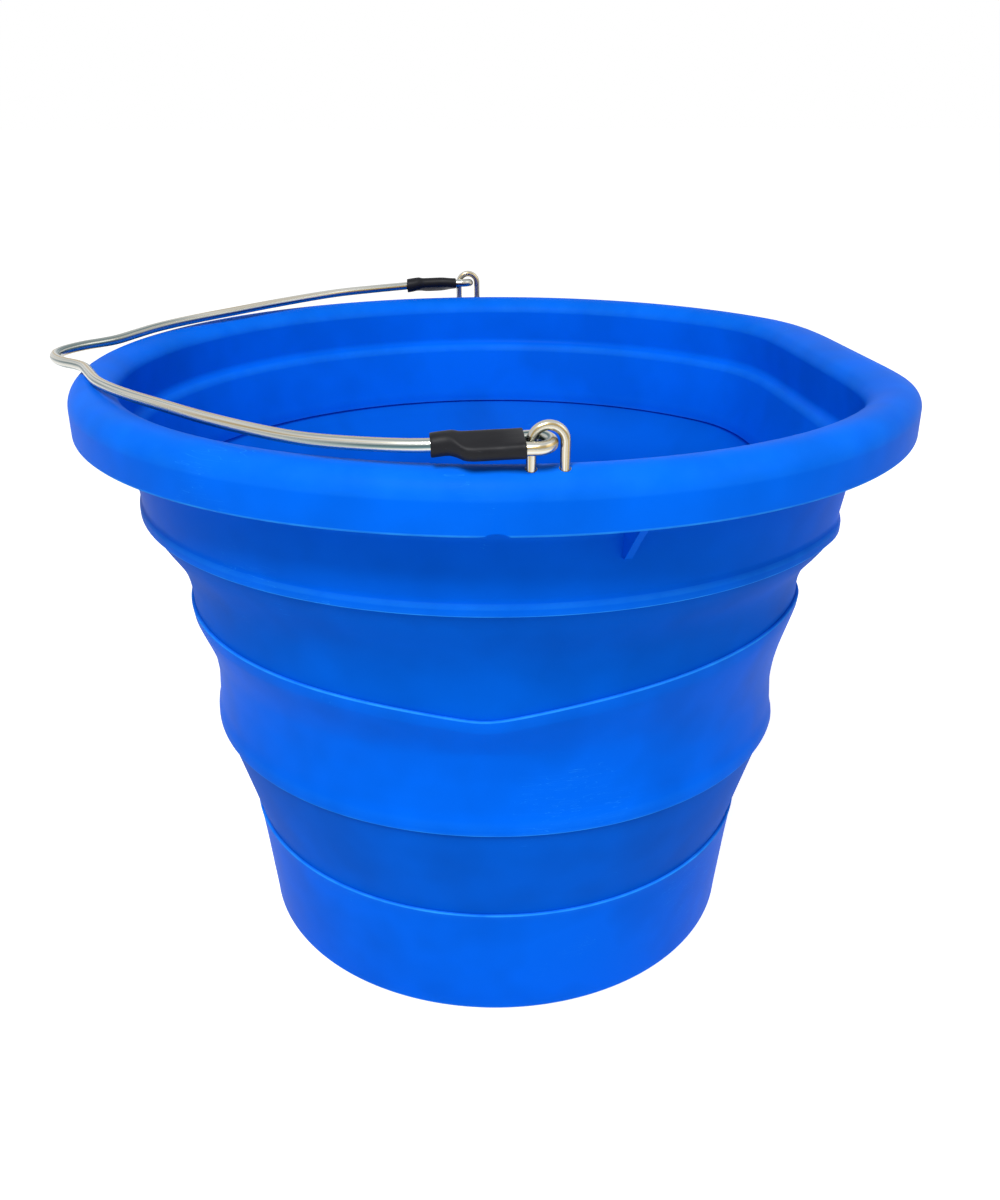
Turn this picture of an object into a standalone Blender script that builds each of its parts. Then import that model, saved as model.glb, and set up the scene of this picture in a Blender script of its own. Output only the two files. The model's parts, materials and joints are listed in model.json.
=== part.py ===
"""Collapsible flat-backed bucket with a wire bail.

Three rigid rings (base cup, middle ring, rim with its collar) are joined by two soft fold walls.
The rim carries two wire staples, and the bail's two eyes hang in them. The origin is the centre
of the flat underside, +Z is up, the flat back faces +X and the staples stand at +Y and -Y.
"""

import math

import bmesh
import bpy
from mathutils import Vector

# Heights of the storeys, from the floor up.
CUP_HEIGHT = 0.053
LOWER_FOLD_HEIGHT = 0.047
MIDDLE_HEIGHT = 0.064
UPPER_FOLD_HEIGHT = 0.0346
COLLAR_HEIGHT = 0.0294
MOUTH_HEIGHT = 0.024

# The rim's outer radius, and how far each ring below it steps in from the one above.
RIM_RADIUS = 0.1700
MOUTH_INSET = 0.0185
COLLAR_INSET = 0.0007
COLLAR_TAPER = 0.0018
UPPER_FOLD_STEP = 0.0154
WAIST_INSET = 0.0084
MIDDLE_FOOT_FLARE = 0.0020
LOWER_FOLD_STEP = 0.0132
CUP_TAPER = 0.0055

# Walls and small rounds.
RIGID_WALL = 0.0026
FOLD_WALL = 0.0018
RIM_WALL = 0.0030
FLOOR_WALL = 0.0030
LIP_WALL = 0.0011
GROOVE_DEPTH = 0.0025
GAP = 0.0003
FOOT_ROUND = 0.0020
EDGE_ROUND = 0.0010
BEAD_HEIGHT = 0.0045
SKIRT_HEIGHT = 0.0190
STEP_ABOVE = 0.0020
STEP_BELOW = 0.0015
RIM_ROUND = 0.0085
MOUTH_ROUND = 0.0070
SHOULDER_INSET = 0.0006
FOOT_BEAD_INSET = 0.0002
COLLAR_BEAD_PROUD = 0.0012
COLLAR_BEAD_HALF = 0.0010
STEP_EASE = 0.0005

# Bends of the ring's waist and of the two fold walls, as (outward, upward) from the end they shape.
WAIST_SHARE = 0.33
SHOULDER_BEND = (0.0048, -0.0120)
WAIST_BEND = (0.0004, 0.0150)
LOWER_TOP_BEND = (-0.0015, -0.0117)
LOWER_FOOT_BEND = (0.0060, 0.0217)
UPPER_TOP_BEND = (-0.0035, -0.0123)
UPPER_FOOT_BEND = (0.0005, 0.0217)

# How deep the flat back is pressed into the round at each level.
FLAT_AT_CUP_TOP = 0.0034
FLAT_AT_MIDDLE_FOOT = 0.0062
FLAT_AT_MIDDLE_TOP = 0.0086
FLAT_AT_COLLAR_FOOT = 0.0175
FLAT_AT_MOUTH = 0.0155
FLAT_AT_RIM = 0.0100
FLAT_CORNER_SHARE = 0.8

# The middle ring's top edge is highest at the flat back, dips on both sides and stays low in front.
EDGE_DIP = 0.0120
FRONT_DROP = 0.0070
DIP_ANGLE = math.radians(97.0)
BACK_SPREAD = math.radians(22.0)
FRONT_SPREAD = math.radians(12.0)
DIP_TIP = math.radians(3.0)
DIP_LEVEL = 0.0045
DIP_FADE = 0.0250

# Gusset ribs between collar and skirt, one beside each staple on the flat's side.
RIB_THICKNESS = 0.0030
RIB_ANGLE = math.radians(79.5)
RIB_DROP = 0.0050
RIB_RISE = 0.0030
RIB_EASE = 0.0010

# Staples: a round arch on two legs that pass down through the rim and turn out below it.
STAPLE_WIRE = 0.0030
STAPLE_OUTSET = 0.0020
ARCH_PLAY = 0.00135
STAPLE_FOOT = 0.0060
STAPLE_BEND = 0.0025
STAPLE_UNDER = 0.0012

# Bail: one wire with an eye at each end and a hook notch in the middle.
BAIL_WIRE = 0.0041
EYE_PLAY = 0.00065
EYE_APEX = 0.0008
EYE_LIFT = 0.0006
EYE_CLEARANCE = 0.00125
MOUTH_DRAW = 0.0004
PAIR_GAP = 0.00031
PAIR_LEAN = math.radians(27.84)
PAIR_START = 0.0150
RETURN_END = 0.0230
BAIL_STEP = 0.0080
ARM_START = (0.0005, 0.0002)

# The arm's bow and the notch, as (reach, across), drawn for staples that stand at ARM_SPAN.
# The notch lies a little towards the left staple, and the arms lean with it.
ARM_SPAN = 0.1635
CREST_SHAPE = 0.1590
ARM_SHAPE = (
    (0.0490, 0.1565),
    (0.0680, 0.1480),
    (0.0840, 0.1355),
    (0.1030, 0.1165),
    (0.1200, 0.0970),
    (0.1330, 0.0820),
    (0.1430, 0.0690),
    (0.1510, 0.0560),
    (0.1570, 0.0420),
    (0.1620, 0.0300),
    (0.1670, 0.0235),
    (0.1725, 0.0185),
    (0.1770, 0.0125),
    (0.1800, 0.0060),
)
NOTCH_LEAN = 0.0110
NOTCH_TIP = 0.1810

# Shrunk sleeves over the bail wire and the end of its eye.
SLEEVE_CLEARANCE = 0.0004
SLEEVE_DRAW = 0.0110
DRAW_SHARE = 0.55
NECK_LENGTH = 0.0027
NECK_SHARE = 0.2
LOOSE_LENGTH = 0.0104
SLEEVE_WALL = 0.00055
SLEEVE_LOOSE_WALL = 0.00125
SLEEVE_SIDES = 20

SEGMENTS = 48
BLUE = (0.0, 0.122, 0.871)
SOFT_BLUE = (0.0, 0.098, 0.72)
STEEL = (0.62, 0.62, 0.58)
BLACK = (0.012, 0.012, 0.014)

# A ring's edge is a groove for the fold wall between two lips.
EDGE_WIDTH = FOLD_WALL + 2 * GAP + 2 * LIP_WALL

# Levels worked out from the storeys.
CUP_TOP = CUP_HEIGHT
MIDDLE_FOOT = CUP_TOP + LOWER_FOLD_HEIGHT
MIDDLE_TOP = MIDDLE_FOOT + MIDDLE_HEIGHT
COLLAR_FOOT = MIDDLE_TOP + UPPER_FOLD_HEIGHT
MOUTH_FOOT = COLLAR_FOOT + COLLAR_HEIGHT
RIM_TOP = MOUTH_FOOT + MOUTH_HEIGHT

# Outer radii of the rings, from the rim down, and the rim's own inner sides.
MOUTH_RADIUS = RIM_RADIUS - MOUTH_INSET
COLLAR_RADIUS = MOUTH_RADIUS - COLLAR_INSET
COLLAR_FOOT_RADIUS = COLLAR_RADIUS - COLLAR_TAPER
MIDDLE_TOP_RADIUS = COLLAR_FOOT_RADIUS - UPPER_FOLD_STEP
MIDDLE_WAIST_RADIUS = MIDDLE_TOP_RADIUS - WAIST_INSET
MIDDLE_FOOT_RADIUS = MIDDLE_WAIST_RADIUS + MIDDLE_FOOT_FLARE
CUP_RADIUS = MIDDLE_FOOT_RADIUS - LOWER_FOLD_STEP
FOOT_RADIUS = CUP_RADIUS - CUP_TAPER
MOUTH_OUTSIDE = MOUTH_RADIUS + RIM_WALL
SKIRT_INSIDE = RIM_RADIUS - RIM_WALL
CREST_RADIUS = RIM_RADIUS - RIM_ROUND

# The staples and the bail's eyes run round each other with a little play.
STAPLE_RADIUS = CREST_RADIUS + STAPLE_OUTSET
STAPLE_ARCH = (BAIL_WIRE + STAPLE_WIRE) / 2 + ARCH_PLAY
EYE_OFFSET = (BAIL_WIRE + STAPLE_WIRE) / 2 + EYE_PLAY
PIVOT_LEVEL = RIM_TOP + EYE_OFFSET + BAIL_WIRE / 2 + EYE_CLEARANCE
MOUTH_OFFSET = EYE_OFFSET - MOUTH_DRAW
PAIR_OFFSET = (BAIL_WIRE + PAIR_GAP) / 2 * math.cos(PAIR_LEAN)
PAIR_LIFT = (BAIL_WIRE + PAIR_GAP) / 2 * math.sin(PAIR_LEAN)
SLEEVE_START = STAPLE_ARCH + STAPLE_WIRE / 2 + SLEEVE_CLEARANCE
SLEEVE_END = RETURN_END + LOOSE_LENGTH
ARM_SCALE = STAPLE_RADIUS / ARM_SPAN
CREST_REACH = CREST_SHAPE * ARM_SCALE
NOTCH_REACH = NOTCH_TIP * ARM_SCALE
REST_TILT = math.asin((PIVOT_LEVEL - RIM_TOP - GAP - BAIL_WIRE / 2) / CREST_REACH)


def clear_scene():
    for item in list(bpy.data.objects):
        bpy.data.objects.remove(item, do_unlink=True)


def collection(name):
    made = bpy.data.collections.new(name)
    bpy.context.scene.collection.children.link(made)
    return made


def material(name, colour, roughness, metallic=0.0):
    made = bpy.data.materials.new(name)
    made.use_nodes = True
    shader = made.node_tree.nodes["Principled BSDF"]
    shader.inputs["Base Color"].default_value = (*colour, 1.0)
    shader.inputs["Roughness"].default_value = roughness
    shader.inputs["Metallic"].default_value = metallic
    return made


def add_object(name, data, group, finish=None, parent=None):
    made = bpy.data.objects.new(name, data)
    group.objects.link(made)
    made.parent = parent
    if finish:
        data.materials.append(finish)
    return made


def meshed(item, name, group, finish=None, parent=None):
    """Replaces an object by the mesh it evaluates to, with its seams welded and its faces outward."""
    bpy.context.view_layer.update()
    graph = bpy.context.evaluated_depsgraph_get()
    data = bpy.data.meshes.new_from_object(item.evaluated_get(graph))
    shape = bmesh.new()
    shape.from_mesh(data)
    bmesh.ops.remove_doubles(shape, verts=shape.verts, dist=0.00001)
    bmesh.ops.recalc_face_normals(shape, faces=shape.faces)
    shape.to_mesh(data)
    shape.free()
    place = item.matrix_world.copy()
    bpy.data.objects.remove(item, do_unlink=True)
    data.materials.clear()
    made = add_object(name, data, group, finish, parent)
    made.matrix_world = place
    return made


def smooth(data):
    data.shade_smooth()
    data.set_sharp_from_angle(angle=math.radians(35.0))


def arc(centre, width, height, start, end, steps):
    """Points on an elliptical arc, from start to end in degrees, both included."""
    turns = [math.radians(start + (end - start) * i / steps) for i in range(steps + 1)]
    return [(centre[0] + width * math.cos(t), centre[1] + height * math.sin(t)) for t in turns]


def bow(first, second, third, fourth, steps):
    """Points on a cubic curve between two ends, both included."""
    ends = [Vector(point) for point in (first, second, third, fourth)]
    points = []
    for i in range(steps + 1):
        t = i / steps
        weights = ((1 - t) ** 3, 3 * t * (1 - t) ** 2, 3 * t * t * (1 - t), t ** 3)
        points.append(tuple(sum((p * w for p, w in zip(ends, weights)), Vector((0, 0)))))
    return points


def shifted(point, bend):
    """A (radius, level) point moved outward and upward."""
    return (point[0] + bend[0], point[1] + bend[1])


def between(value, stations):
    """Straight-line reading of a value from (place, reading) stations."""
    for (low, first), (high, second) in zip(stations, stations[1:]):
        if value <= high:
            share = max(0.0, (value - low) / (high - low))
            return first + (second - first) * share
    return stations[-1][1]


def flat_depth(radius, level):
    """How far the flat back lies inside the round of this radius at this level."""
    wall = between(
        level,
        (
            (0.0, 0.0),
            (CUP_TOP, FLAT_AT_CUP_TOP),
            (MIDDLE_FOOT, FLAT_AT_MIDDLE_FOOT),
            (MIDDLE_TOP, FLAT_AT_MIDDLE_TOP),
            (COLLAR_FOOT, FLAT_AT_COLLAR_FOOT),
            (MOUTH_FOOT, FLAT_AT_MOUTH),
        ),
    )
    if radius <= MOUTH_OUTSIDE:
        return wall
    return between(radius, ((MOUTH_OUTSIDE, wall), (SKIRT_INSIDE, FLAT_AT_RIM)))


def press_flat(point):
    """Moves a point of a round shell onto the flat back, with rounded corners beside it."""
    radius = math.hypot(point.x, point.y)
    depth = flat_depth(radius, point.z)
    corner = FLAT_CORNER_SHARE * depth
    if point.x <= 0 or depth <= 0:
        return
    plane = radius - depth
    blend = max(0.0, corner - abs(point.x - plane))
    point.x = min(point.x, plane) - blend * blend / (4 * corner)


def dip_edge(point):
    """Lowers the middle ring's top edge, and the fold that sits in it, towards the front."""
    away = abs(math.atan2(point.y, point.x)) - DIP_ANGLE
    floor, spread = (FRONT_DROP, FRONT_SPREAD) if away > 0 else (0.0, BACK_SPREAD)
    fall = math.exp((DIP_TIP - math.hypot(away, DIP_TIP)) / spread)
    drop = floor + (EDGE_DIP - floor) * fall
    beyond = abs(point.z - MIDDLE_TOP) - DIP_LEVEL
    point.z -= drop * max(0.0, 1 - max(0.0, beyond) / DIP_FADE)


def turned(name, profile, group, finish, closed=True):
    """A profile of (radius, level) points turned about Z, then pressed flat at the back."""
    data = bpy.data.meshes.new(name)
    count = len(profile)
    edges = [(i, (i + 1) % count) for i in range(count if closed else count - 1)]
    data.from_pydata([(radius, 0.0, level) for radius, level in profile], edges, [])
    source = add_object(name + "_profile", data, group)
    screw = source.modifiers.new("Turn", "SCREW")
    screw.steps = SEGMENTS
    screw.render_steps = SEGMENTS
    screw.use_merge_vertices = True
    screw.merge_threshold = 0.0001
    made = meshed(source, name, group, finish)
    for vertex in made.data.vertices:
        press_flat(vertex.co)
        dip_edge(vertex.co)
    smooth(made.data)
    return made


def wire(name, points, thickness, group, finish=None, parent=None):
    """A round wire through the points, with closed ends."""
    data = bpy.data.curves.new(name, "CURVE")
    data.dimensions = "3D"
    data.bevel_depth = thickness / 2
    data.bevel_resolution = 2
    data.use_fill_caps = True
    line = data.splines.new("POLY")
    line.points.add(len(points) - 1)
    for spot, point in zip(line.points, points):
        spot.co = (*point, 1.0)
    line.use_smooth = True
    return add_object(name, data, group, finish, parent)


def cut(target, cutter, operation="DIFFERENCE"):
    """Keeps the cutter as a hidden helper of a Boolean on the target."""
    cutter.hide_render = True
    cutter.display_type = "WIRE"
    change = target.modifiers.new(cutter.name, "BOOLEAN")
    change.operation = operation
    change.solver = "EXACT"
    change.object = cutter


def groove(outer_radius, level, upward):
    """A groove's four corners in a ring's edge, from its outer side to its inner side."""
    side = 1 if upward else -1
    outside = outer_radius - (EDGE_WIDTH - FOLD_WALL - 2 * GAP) / 2
    inside = outside - FOLD_WALL - 2 * GAP
    floor = level - side * (GROOVE_DEPTH + GAP)
    return [(outside, level), (outside, floor), (inside, floor), (inside, level)]


def tongue_radius(outer_radius):
    """Outer radius of the fold wall that sits in the groove of a ring of this radius."""
    return outer_radius - (EDGE_WIDTH - FOLD_WALL) / 2


def rounded_edge(outer_radius, level, upward):
    """A ring's grooved edge from its outer side to its inner side, with both corners eased."""
    inner_radius = outer_radius - EDGE_WIDTH
    inward = -EDGE_ROUND if upward else EDGE_ROUND
    points = [(outer_radius, level + inward), (outer_radius - EDGE_ROUND, level)]
    points += groove(outer_radius, level, upward)
    points.append((inner_radius, level))
    return points


def base_cup(group, finish):
    outside = arc((FOOT_RADIUS - FOOT_ROUND, FOOT_ROUND), FOOT_ROUND, FOOT_ROUND, 0, -90, 3)
    inner_top = CUP_RADIUS - EDGE_WIDTH
    inner_foot = FOOT_RADIUS - RIGID_WALL
    inside = arc((inner_foot - FOOT_ROUND, FLOOR_WALL + FOOT_ROUND), FOOT_ROUND, FOOT_ROUND, 0, -90, 2)
    profile = [(0.0, FLOOR_WALL), *reversed(inside)]
    profile.append((inner_top, CUP_TOP - 2 * BEAD_HEIGHT))
    profile += reversed(rounded_edge(CUP_RADIUS, CUP_TOP, True))
    profile.append((CUP_RADIUS - EDGE_ROUND / 2, CUP_TOP - BEAD_HEIGHT))
    profile += outside
    profile.append((0.0, 0.0))
    return turned("base_cup", profile, group, finish, closed=False)


def fold_wall(name, top, foot, top_bend, foot_bend, group, finish):
    """A soft wall between two grooves. Each end and bend is an (outer radius, level) pair."""
    tongue = GROOVE_DEPTH
    outside = bow(top, top_bend, foot_bend, foot, 5)
    inside = [(radius - FOLD_WALL, level) for radius, level in outside]
    profile = [(top[0], top[1] + tongue), *outside, (foot[0], foot[1] - tongue)]
    profile += [(foot[0] - FOLD_WALL, foot[1] - tongue), *reversed(inside)]
    profile.append((top[0] - FOLD_WALL, top[1] + tongue))
    return turned(name, profile, group, finish)


def lower_fold_wall(group, finish):
    top = (tongue_radius(MIDDLE_FOOT_RADIUS), MIDDLE_FOOT)
    foot = (tongue_radius(CUP_RADIUS), CUP_TOP)
    bends = (shifted(top, LOWER_TOP_BEND), shifted(foot, LOWER_FOOT_BEND))
    return fold_wall("lower_fold_wall", top, foot, *bends, group, finish)


def upper_fold_wall(group, finish):
    top = (tongue_radius(COLLAR_FOOT_RADIUS), COLLAR_FOOT)
    foot = (tongue_radius(MIDDLE_TOP_RADIUS), MIDDLE_TOP)
    bends = (shifted(top, UPPER_TOP_BEND), shifted(foot, UPPER_FOOT_BEND))
    return fold_wall("upper_fold_wall", top, foot, *bends, group, finish)


def middle_ring(group, finish):
    """A waisted ring with a grooved edge at its top and a grooved bead at its foot."""
    shoulder = (MIDDLE_TOP_RADIUS - SHOULDER_INSET, MIDDLE_TOP - BEAD_HEIGHT)
    waist = (MIDDLE_WAIST_RADIUS, MIDDLE_FOOT + MIDDLE_HEIGHT * WAIST_SHARE)
    bead = (MIDDLE_FOOT_RADIUS - FOOT_BEAD_INSET, MIDDLE_FOOT + BEAD_HEIGHT)
    swell = shifted((waist[0], shoulder[1]), SHOULDER_BEND)
    outside = bow(shoulder, swell, shifted(waist, WAIST_BEND), waist, 4)
    inside = [(radius - RIGID_WALL, level) for radius, level in outside]
    foot = rounded_edge(MIDDLE_FOOT_RADIUS, MIDDLE_FOOT, False)
    profile = rounded_edge(MIDDLE_TOP_RADIUS, MIDDLE_TOP, True)[::-1]
    profile += [*outside, bead, *foot]
    profile.append((MIDDLE_FOOT_RADIUS - EDGE_WIDTH, MIDDLE_FOOT + BEAD_HEIGHT))
    profile += reversed(inside)
    profile.append((MIDDLE_TOP_RADIUS - EDGE_WIDTH, MIDDLE_TOP - BEAD_HEIGHT))
    return turned("middle_ring", profile, group, finish)


def rim_profile():
    """Top round, skirt, channel, mouth wall, stepped collar and its grooved foot."""
    round_centre = (CREST_RADIUS, RIM_TOP - RIM_ROUND)
    mouth_width = CREST_RADIUS - MOUTH_RADIUS
    mouth_centre = (CREST_RADIUS, RIM_TOP - MOUTH_ROUND)
    channel_width = CREST_RADIUS - MOUTH_OUTSIDE
    under = RIM_ROUND - RIM_WALL
    skirt_foot = RIM_TOP - SKIRT_HEIGHT
    profile = arc(round_centre, RIM_ROUND, RIM_ROUND, 90, 0, 4)
    profile += [(RIM_RADIUS, skirt_foot), (SKIRT_INSIDE, skirt_foot)]
    profile += arc(round_centre, under, under, 0, 90, 3)
    profile += arc((CREST_RADIUS, mouth_centre[1] - RIM_WALL), channel_width, MOUTH_ROUND, 90, 180, 2)[1:]
    profile.append((MOUTH_OUTSIDE, MOUTH_FOOT + STEP_ABOVE))
    profile.append((COLLAR_RADIUS, MOUTH_FOOT - STEP_BELOW))
    bead_top = COLLAR_FOOT + BEAD_HEIGHT
    profile.append((COLLAR_FOOT_RADIUS - COLLAR_BEAD_PROUD, bead_top + COLLAR_BEAD_HALF))
    profile.append((COLLAR_FOOT_RADIUS, bead_top - COLLAR_BEAD_HALF))
    profile += rounded_edge(COLLAR_FOOT_RADIUS, COLLAR_FOOT, False)
    profile.append((COLLAR_FOOT_RADIUS - EDGE_WIDTH, bead_top))
    profile.append((COLLAR_RADIUS - RIGID_WALL, MOUTH_FOOT - STEP_BELOW + STEP_EASE))
    profile.append((MOUTH_RADIUS, MOUTH_FOOT + STEP_ABOVE))
    profile += arc(mouth_centre, mouth_width, MOUTH_ROUND, 180, 90, 4)[:-1]
    return profile


def rib(angle, group):
    """A gusset plate that bridges the channel between the mouth wall and the skirt."""
    wall = MOUTH_RADIUS + RIM_WALL / 2
    skirt = SKIRT_INSIDE + RIM_WALL / 2
    collar = COLLAR_RADIUS - RIGID_WALL / 2
    skirt_foot = RIM_TOP - SKIRT_HEIGHT
    outline = (
        (collar, MOUTH_FOOT - RIB_DROP),
        (skirt, skirt_foot + RIB_RISE),
        (skirt, RIM_TOP - RIM_ROUND),
        (CREST_RADIUS, RIM_TOP - RIM_WALL / 2),
        (wall, RIM_TOP - MOUTH_ROUND),
        (wall, MOUTH_FOOT + STEP_ABOVE + RIB_EASE),
        (collar, MOUTH_FOOT - STEP_BELOW - RIB_EASE),
    )
    data = bpy.data.curves.new("rib_outline", "CURVE")
    data.dimensions = "2D"
    data.fill_mode = "BOTH"
    data.extrude = RIB_THICKNESS / 2
    line = data.splines.new("POLY")
    line.points.add(len(outline) - 1)
    for spot, (radius, level) in zip(line.points, outline):
        spot.co = (radius, level, 0.0, 1.0)
    line.use_cyclic_u = True
    plate = add_object("rib_outline", data, group)
    plate.rotation_euler = (math.pi / 2, 0.0, angle)
    return meshed(plate, "rib", group)


def rim_collar(group, cutters, finish):
    made = turned("rim_collar", rim_profile(), group, finish)
    for side in (-1, 1):
        cut(made, rib(side * RIB_ANGLE, cutters), "UNION")
        for leg in (-1, 1):
            bpy.ops.mesh.primitive_cylinder_add(
                vertices=16,
                radius=STAPLE_WIRE / 2 + GAP,
                depth=2 * RIM_ROUND,
                location=(leg * STAPLE_ARCH, side * STAPLE_RADIUS, RIM_TOP),
            )
            hole = bpy.context.object
            hole.name = "leg_hole"
            for owner in list(hole.users_collection):
                owner.objects.unlink(hole)
            cutters.objects.link(hole)
            cut(made, hole)
    return made


def staple(name, side, group, finish):
    """Foot, bend, leg and half of the arch, then the same mirrored."""
    spread = STAPLE_RADIUS - CREST_RADIUS
    under_land = RIM_TOP - RIM_ROUND + math.sqrt((RIM_ROUND - RIM_WALL) ** 2 - spread ** 2)
    foot_level = under_land - GAP - STAPLE_UNDER - STAPLE_WIRE / 2
    bend = (-STAPLE_ARCH - STAPLE_BEND, foot_level + STAPLE_BEND)
    half = [(bend[0] - STAPLE_FOOT + STAPLE_BEND, foot_level)]
    half += arc(bend, STAPLE_BEND, STAPLE_BEND, -90, 0, 4)
    half += arc((0.0, PIVOT_LEVEL), STAPLE_ARCH, STAPLE_ARCH, 180, 90, 7)
    outline = half + [(-x, level) for x, level in reversed(half[:-1])]
    centre = Vector((0.0, side * STAPLE_RADIUS, PIVOT_LEVEL))
    points = [(x, 0.0, level - PIVOT_LEVEL) for x, level in outline]
    made = wire(name, points, STAPLE_WIRE, group, finish)
    made.location = centre
    return made


def through(points, step):
    """Points a step apart on a smooth curve through hand-chosen ones."""
    found = []
    rows = [2 * points[0] - points[1], *points, 2 * points[-1] - points[-2]]
    for before, start, end, after in zip(rows, rows[1:], rows[2:], rows[3:]):
        count = max(1, round((end - start).length / step))
        for i in range(count):
            t = i / count
            bend = 2 * before - 5 * start + 4 * end - after
            lean = 3 * start - before - 3 * end + after
            found.append(0.5 * (2 * start + (end - before) * t + bend * t * t + lean * t ** 3))
    return [*found, points[-1]]


def in_bail(reach, across, lift):
    """A place on the resting bail: reach from the pivot line, across along it, lift off its plane."""
    x = -reach * math.cos(REST_TILT) - lift * math.sin(REST_TILT)
    z = -reach * math.sin(REST_TILT) + lift * math.cos(REST_TILT)
    return Vector((x, across + NOTCH_LEAN * (reach / NOTCH_REACH) ** 2, z))


def main_run(side):
    """The bail's wire from its eye through the sleeve, as (reach, across, lift) places."""
    return [
        Vector((SLEEVE_START, side * (STAPLE_RADIUS - MOUTH_OFFSET), EYE_LIFT)),
        Vector((PAIR_START, side * (STAPLE_RADIUS - PAIR_OFFSET), PAIR_LIFT)),
        Vector((RETURN_END, side * (STAPLE_RADIUS - PAIR_OFFSET), PAIR_LIFT)),
        Vector((SLEEVE_END, side * (STAPLE_RADIUS - PAIR_OFFSET - ARM_START[0]), ARM_START[1])),
    ]


def return_run(side):
    """The wire's end from the eye into the sleeve."""
    return [
        Vector((SLEEVE_START, side * (STAPLE_RADIUS + MOUTH_OFFSET), -EYE_LIFT)),
        Vector((PAIR_START, side * (STAPLE_RADIUS + PAIR_OFFSET), -PAIR_LIFT)),
        Vector((RETURN_END, side * (STAPLE_RADIUS + PAIR_OFFSET), -PAIR_LIFT)),
    ]


def eye_turn(side):
    """The half turn of an eye, from the return run's side to the main run's side."""
    centre = EYE_OFFSET - EYE_APEX
    points = []
    steps = 8
    for i in range(steps + 1):
        turn = math.pi * i / steps
        across = STAPLE_RADIUS + EYE_OFFSET * math.cos(turn)
        reach = centre - EYE_OFFSET * math.sin(turn)
        points.append(Vector((reach, side * across, -EYE_LIFT * math.cos(turn))))
    return points


def bail_half(side):
    """Half of the bail: its return run from the wire's end, its eye, and the arm to the notch."""
    arm = [Vector((reach, side * across, 0.0)) * ARM_SCALE for reach, across in ARM_SHAPE]
    tip = Vector((NOTCH_REACH, 0.0, 0.0))
    back = through(return_run(side)[::-1], BAIL_STEP)
    out = through(main_run(side) + arm + [tip], BAIL_STEP)
    return back, eye_turn(side), out


def bail_wire(group, pivot, finish):
    back, eye, out = bail_half(-1)
    half = back + eye + out
    places = half + [Vector((p.x, -p.y, p.z)) for p in reversed(half[:-1])]
    points = [in_bail(*place) for place in places]
    return wire("bail_wire", points, BAIL_WIRE, group, finish, pivot)


def sleeve_ring(reach, first, second, radius, sides):
    """Outline round two wires side by side, or round one where both are the same."""
    apart = Vector(first) - Vector(second)
    ring = []
    for i in range(sides):
        turn = 2 * math.pi * (i + 0.5) / sides
        ray = Vector((math.cos(turn), math.sin(turn)))
        across, lift = Vector(first if ray.dot(apart) > 0 else second) + ray * radius
        ring.append(in_bail(reach, across, lift))
    return ring


def sleeve(name, side, group, cutters, pivot, finish):
    """A tube shrunk round the wire pair, with a looser neck over the single wire."""
    snug = BAIL_WIRE / 2 + GAP + SLEEVE_WALL
    loose = BAIL_WIRE / 2 + GAP + SLEEVE_LOOSE_WALL
    mouth, start, step, end = [p.yz for p in main_run(side)]
    other_mouth, other_start, other_step = [p.yz for p in return_run(side)]
    stations = (
        (SLEEVE_START, mouth, other_mouth, snug),
        (SLEEVE_DRAW, mouth.lerp(start, DRAW_SHARE), other_mouth.lerp(other_start, DRAW_SHARE), snug),
        (PAIR_START, start, other_start, snug),
        (RETURN_END + GAP + SLEEVE_WALL, step, other_step, snug),
        (RETURN_END + NECK_LENGTH, step.lerp(end, NECK_SHARE), step.lerp(end, NECK_SHARE), loose),
        (SLEEVE_END, end, end, loose),
    )
    shape = bmesh.new()
    rings = []
    for station in stations:
        rings.append([shape.verts.new(p) for p in sleeve_ring(*station, SLEEVE_SIDES)])
    for near, far in zip(rings, rings[1:]):
        for i in range(SLEEVE_SIDES):
            j = (i + 1) % SLEEVE_SIDES
            shape.faces.new((near[i], near[j], far[j], far[i]))
    shape.faces.new(rings[0])
    shape.faces.new(rings[-1])
    bmesh.ops.recalc_face_normals(shape, faces=shape.faces)
    data = bpy.data.meshes.new(name)
    shape.to_mesh(data)
    shape.free()
    smooth(data)
    made = add_object(name, data, group, finish, pivot)
    back, eye, out = bail_half(side)
    past_end = [back[0] + Vector((GAP, 0.0, 0.0))]
    bore_runs = {
        "main_bore": [eye[-1]] + [place for place in out if place.x < SLEEVE_END + 2 * BAIL_STEP],
        "end_bore": past_end + back + [eye[0]],
    }
    for bore_name, run in bore_runs.items():
        bore = wire(bore_name, [in_bail(*place) for place in run], BAIL_WIRE + 2 * GAP, cutters)
        bore.location = pivot.location
        cut(made, meshed(bore, bore_name, cutters))
    return made


def main():
    clear_scene()
    bucket = collection("collapsible_bucket")
    cutters = collection("cutters")
    rigid = material("rigid_plastic", BLUE, 0.42)
    soft = material("soft_plastic", SOFT_BLUE, 0.5)
    base_cup(bucket, rigid)
    lower_fold_wall(bucket, soft)
    middle_ring(bucket, rigid)
    upper_fold_wall(bucket, soft)
    rim_collar(bucket, cutters, rigid)
    steel = material("plated_wire", STEEL, 0.25, 1.0)
    black = material("shrink_sleeve", BLACK, 0.5)
    pivot = add_object("bail_pivot", None, bucket)
    pivot.location = (0.0, 0.0, PIVOT_LEVEL)
    bpy.context.view_layer.update()
    bail_wire(bucket, pivot, steel)
    for name, side in (("right", -1), ("left", 1)):
        staple(name + "_staple", side, bucket, steel)
        sleeve(name + "_sleeve", side, bucket, cutters, pivot, black)


main()
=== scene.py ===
# %% [markdown]
# # A collapsible bucket with a wire bail
# Three rigid rings carry two soft fold walls between them, so that the bucket sinks into itself.
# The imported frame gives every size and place. Each cell below makes one piece or one finish on it.

# %% Load the frame
import json
import math

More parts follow.
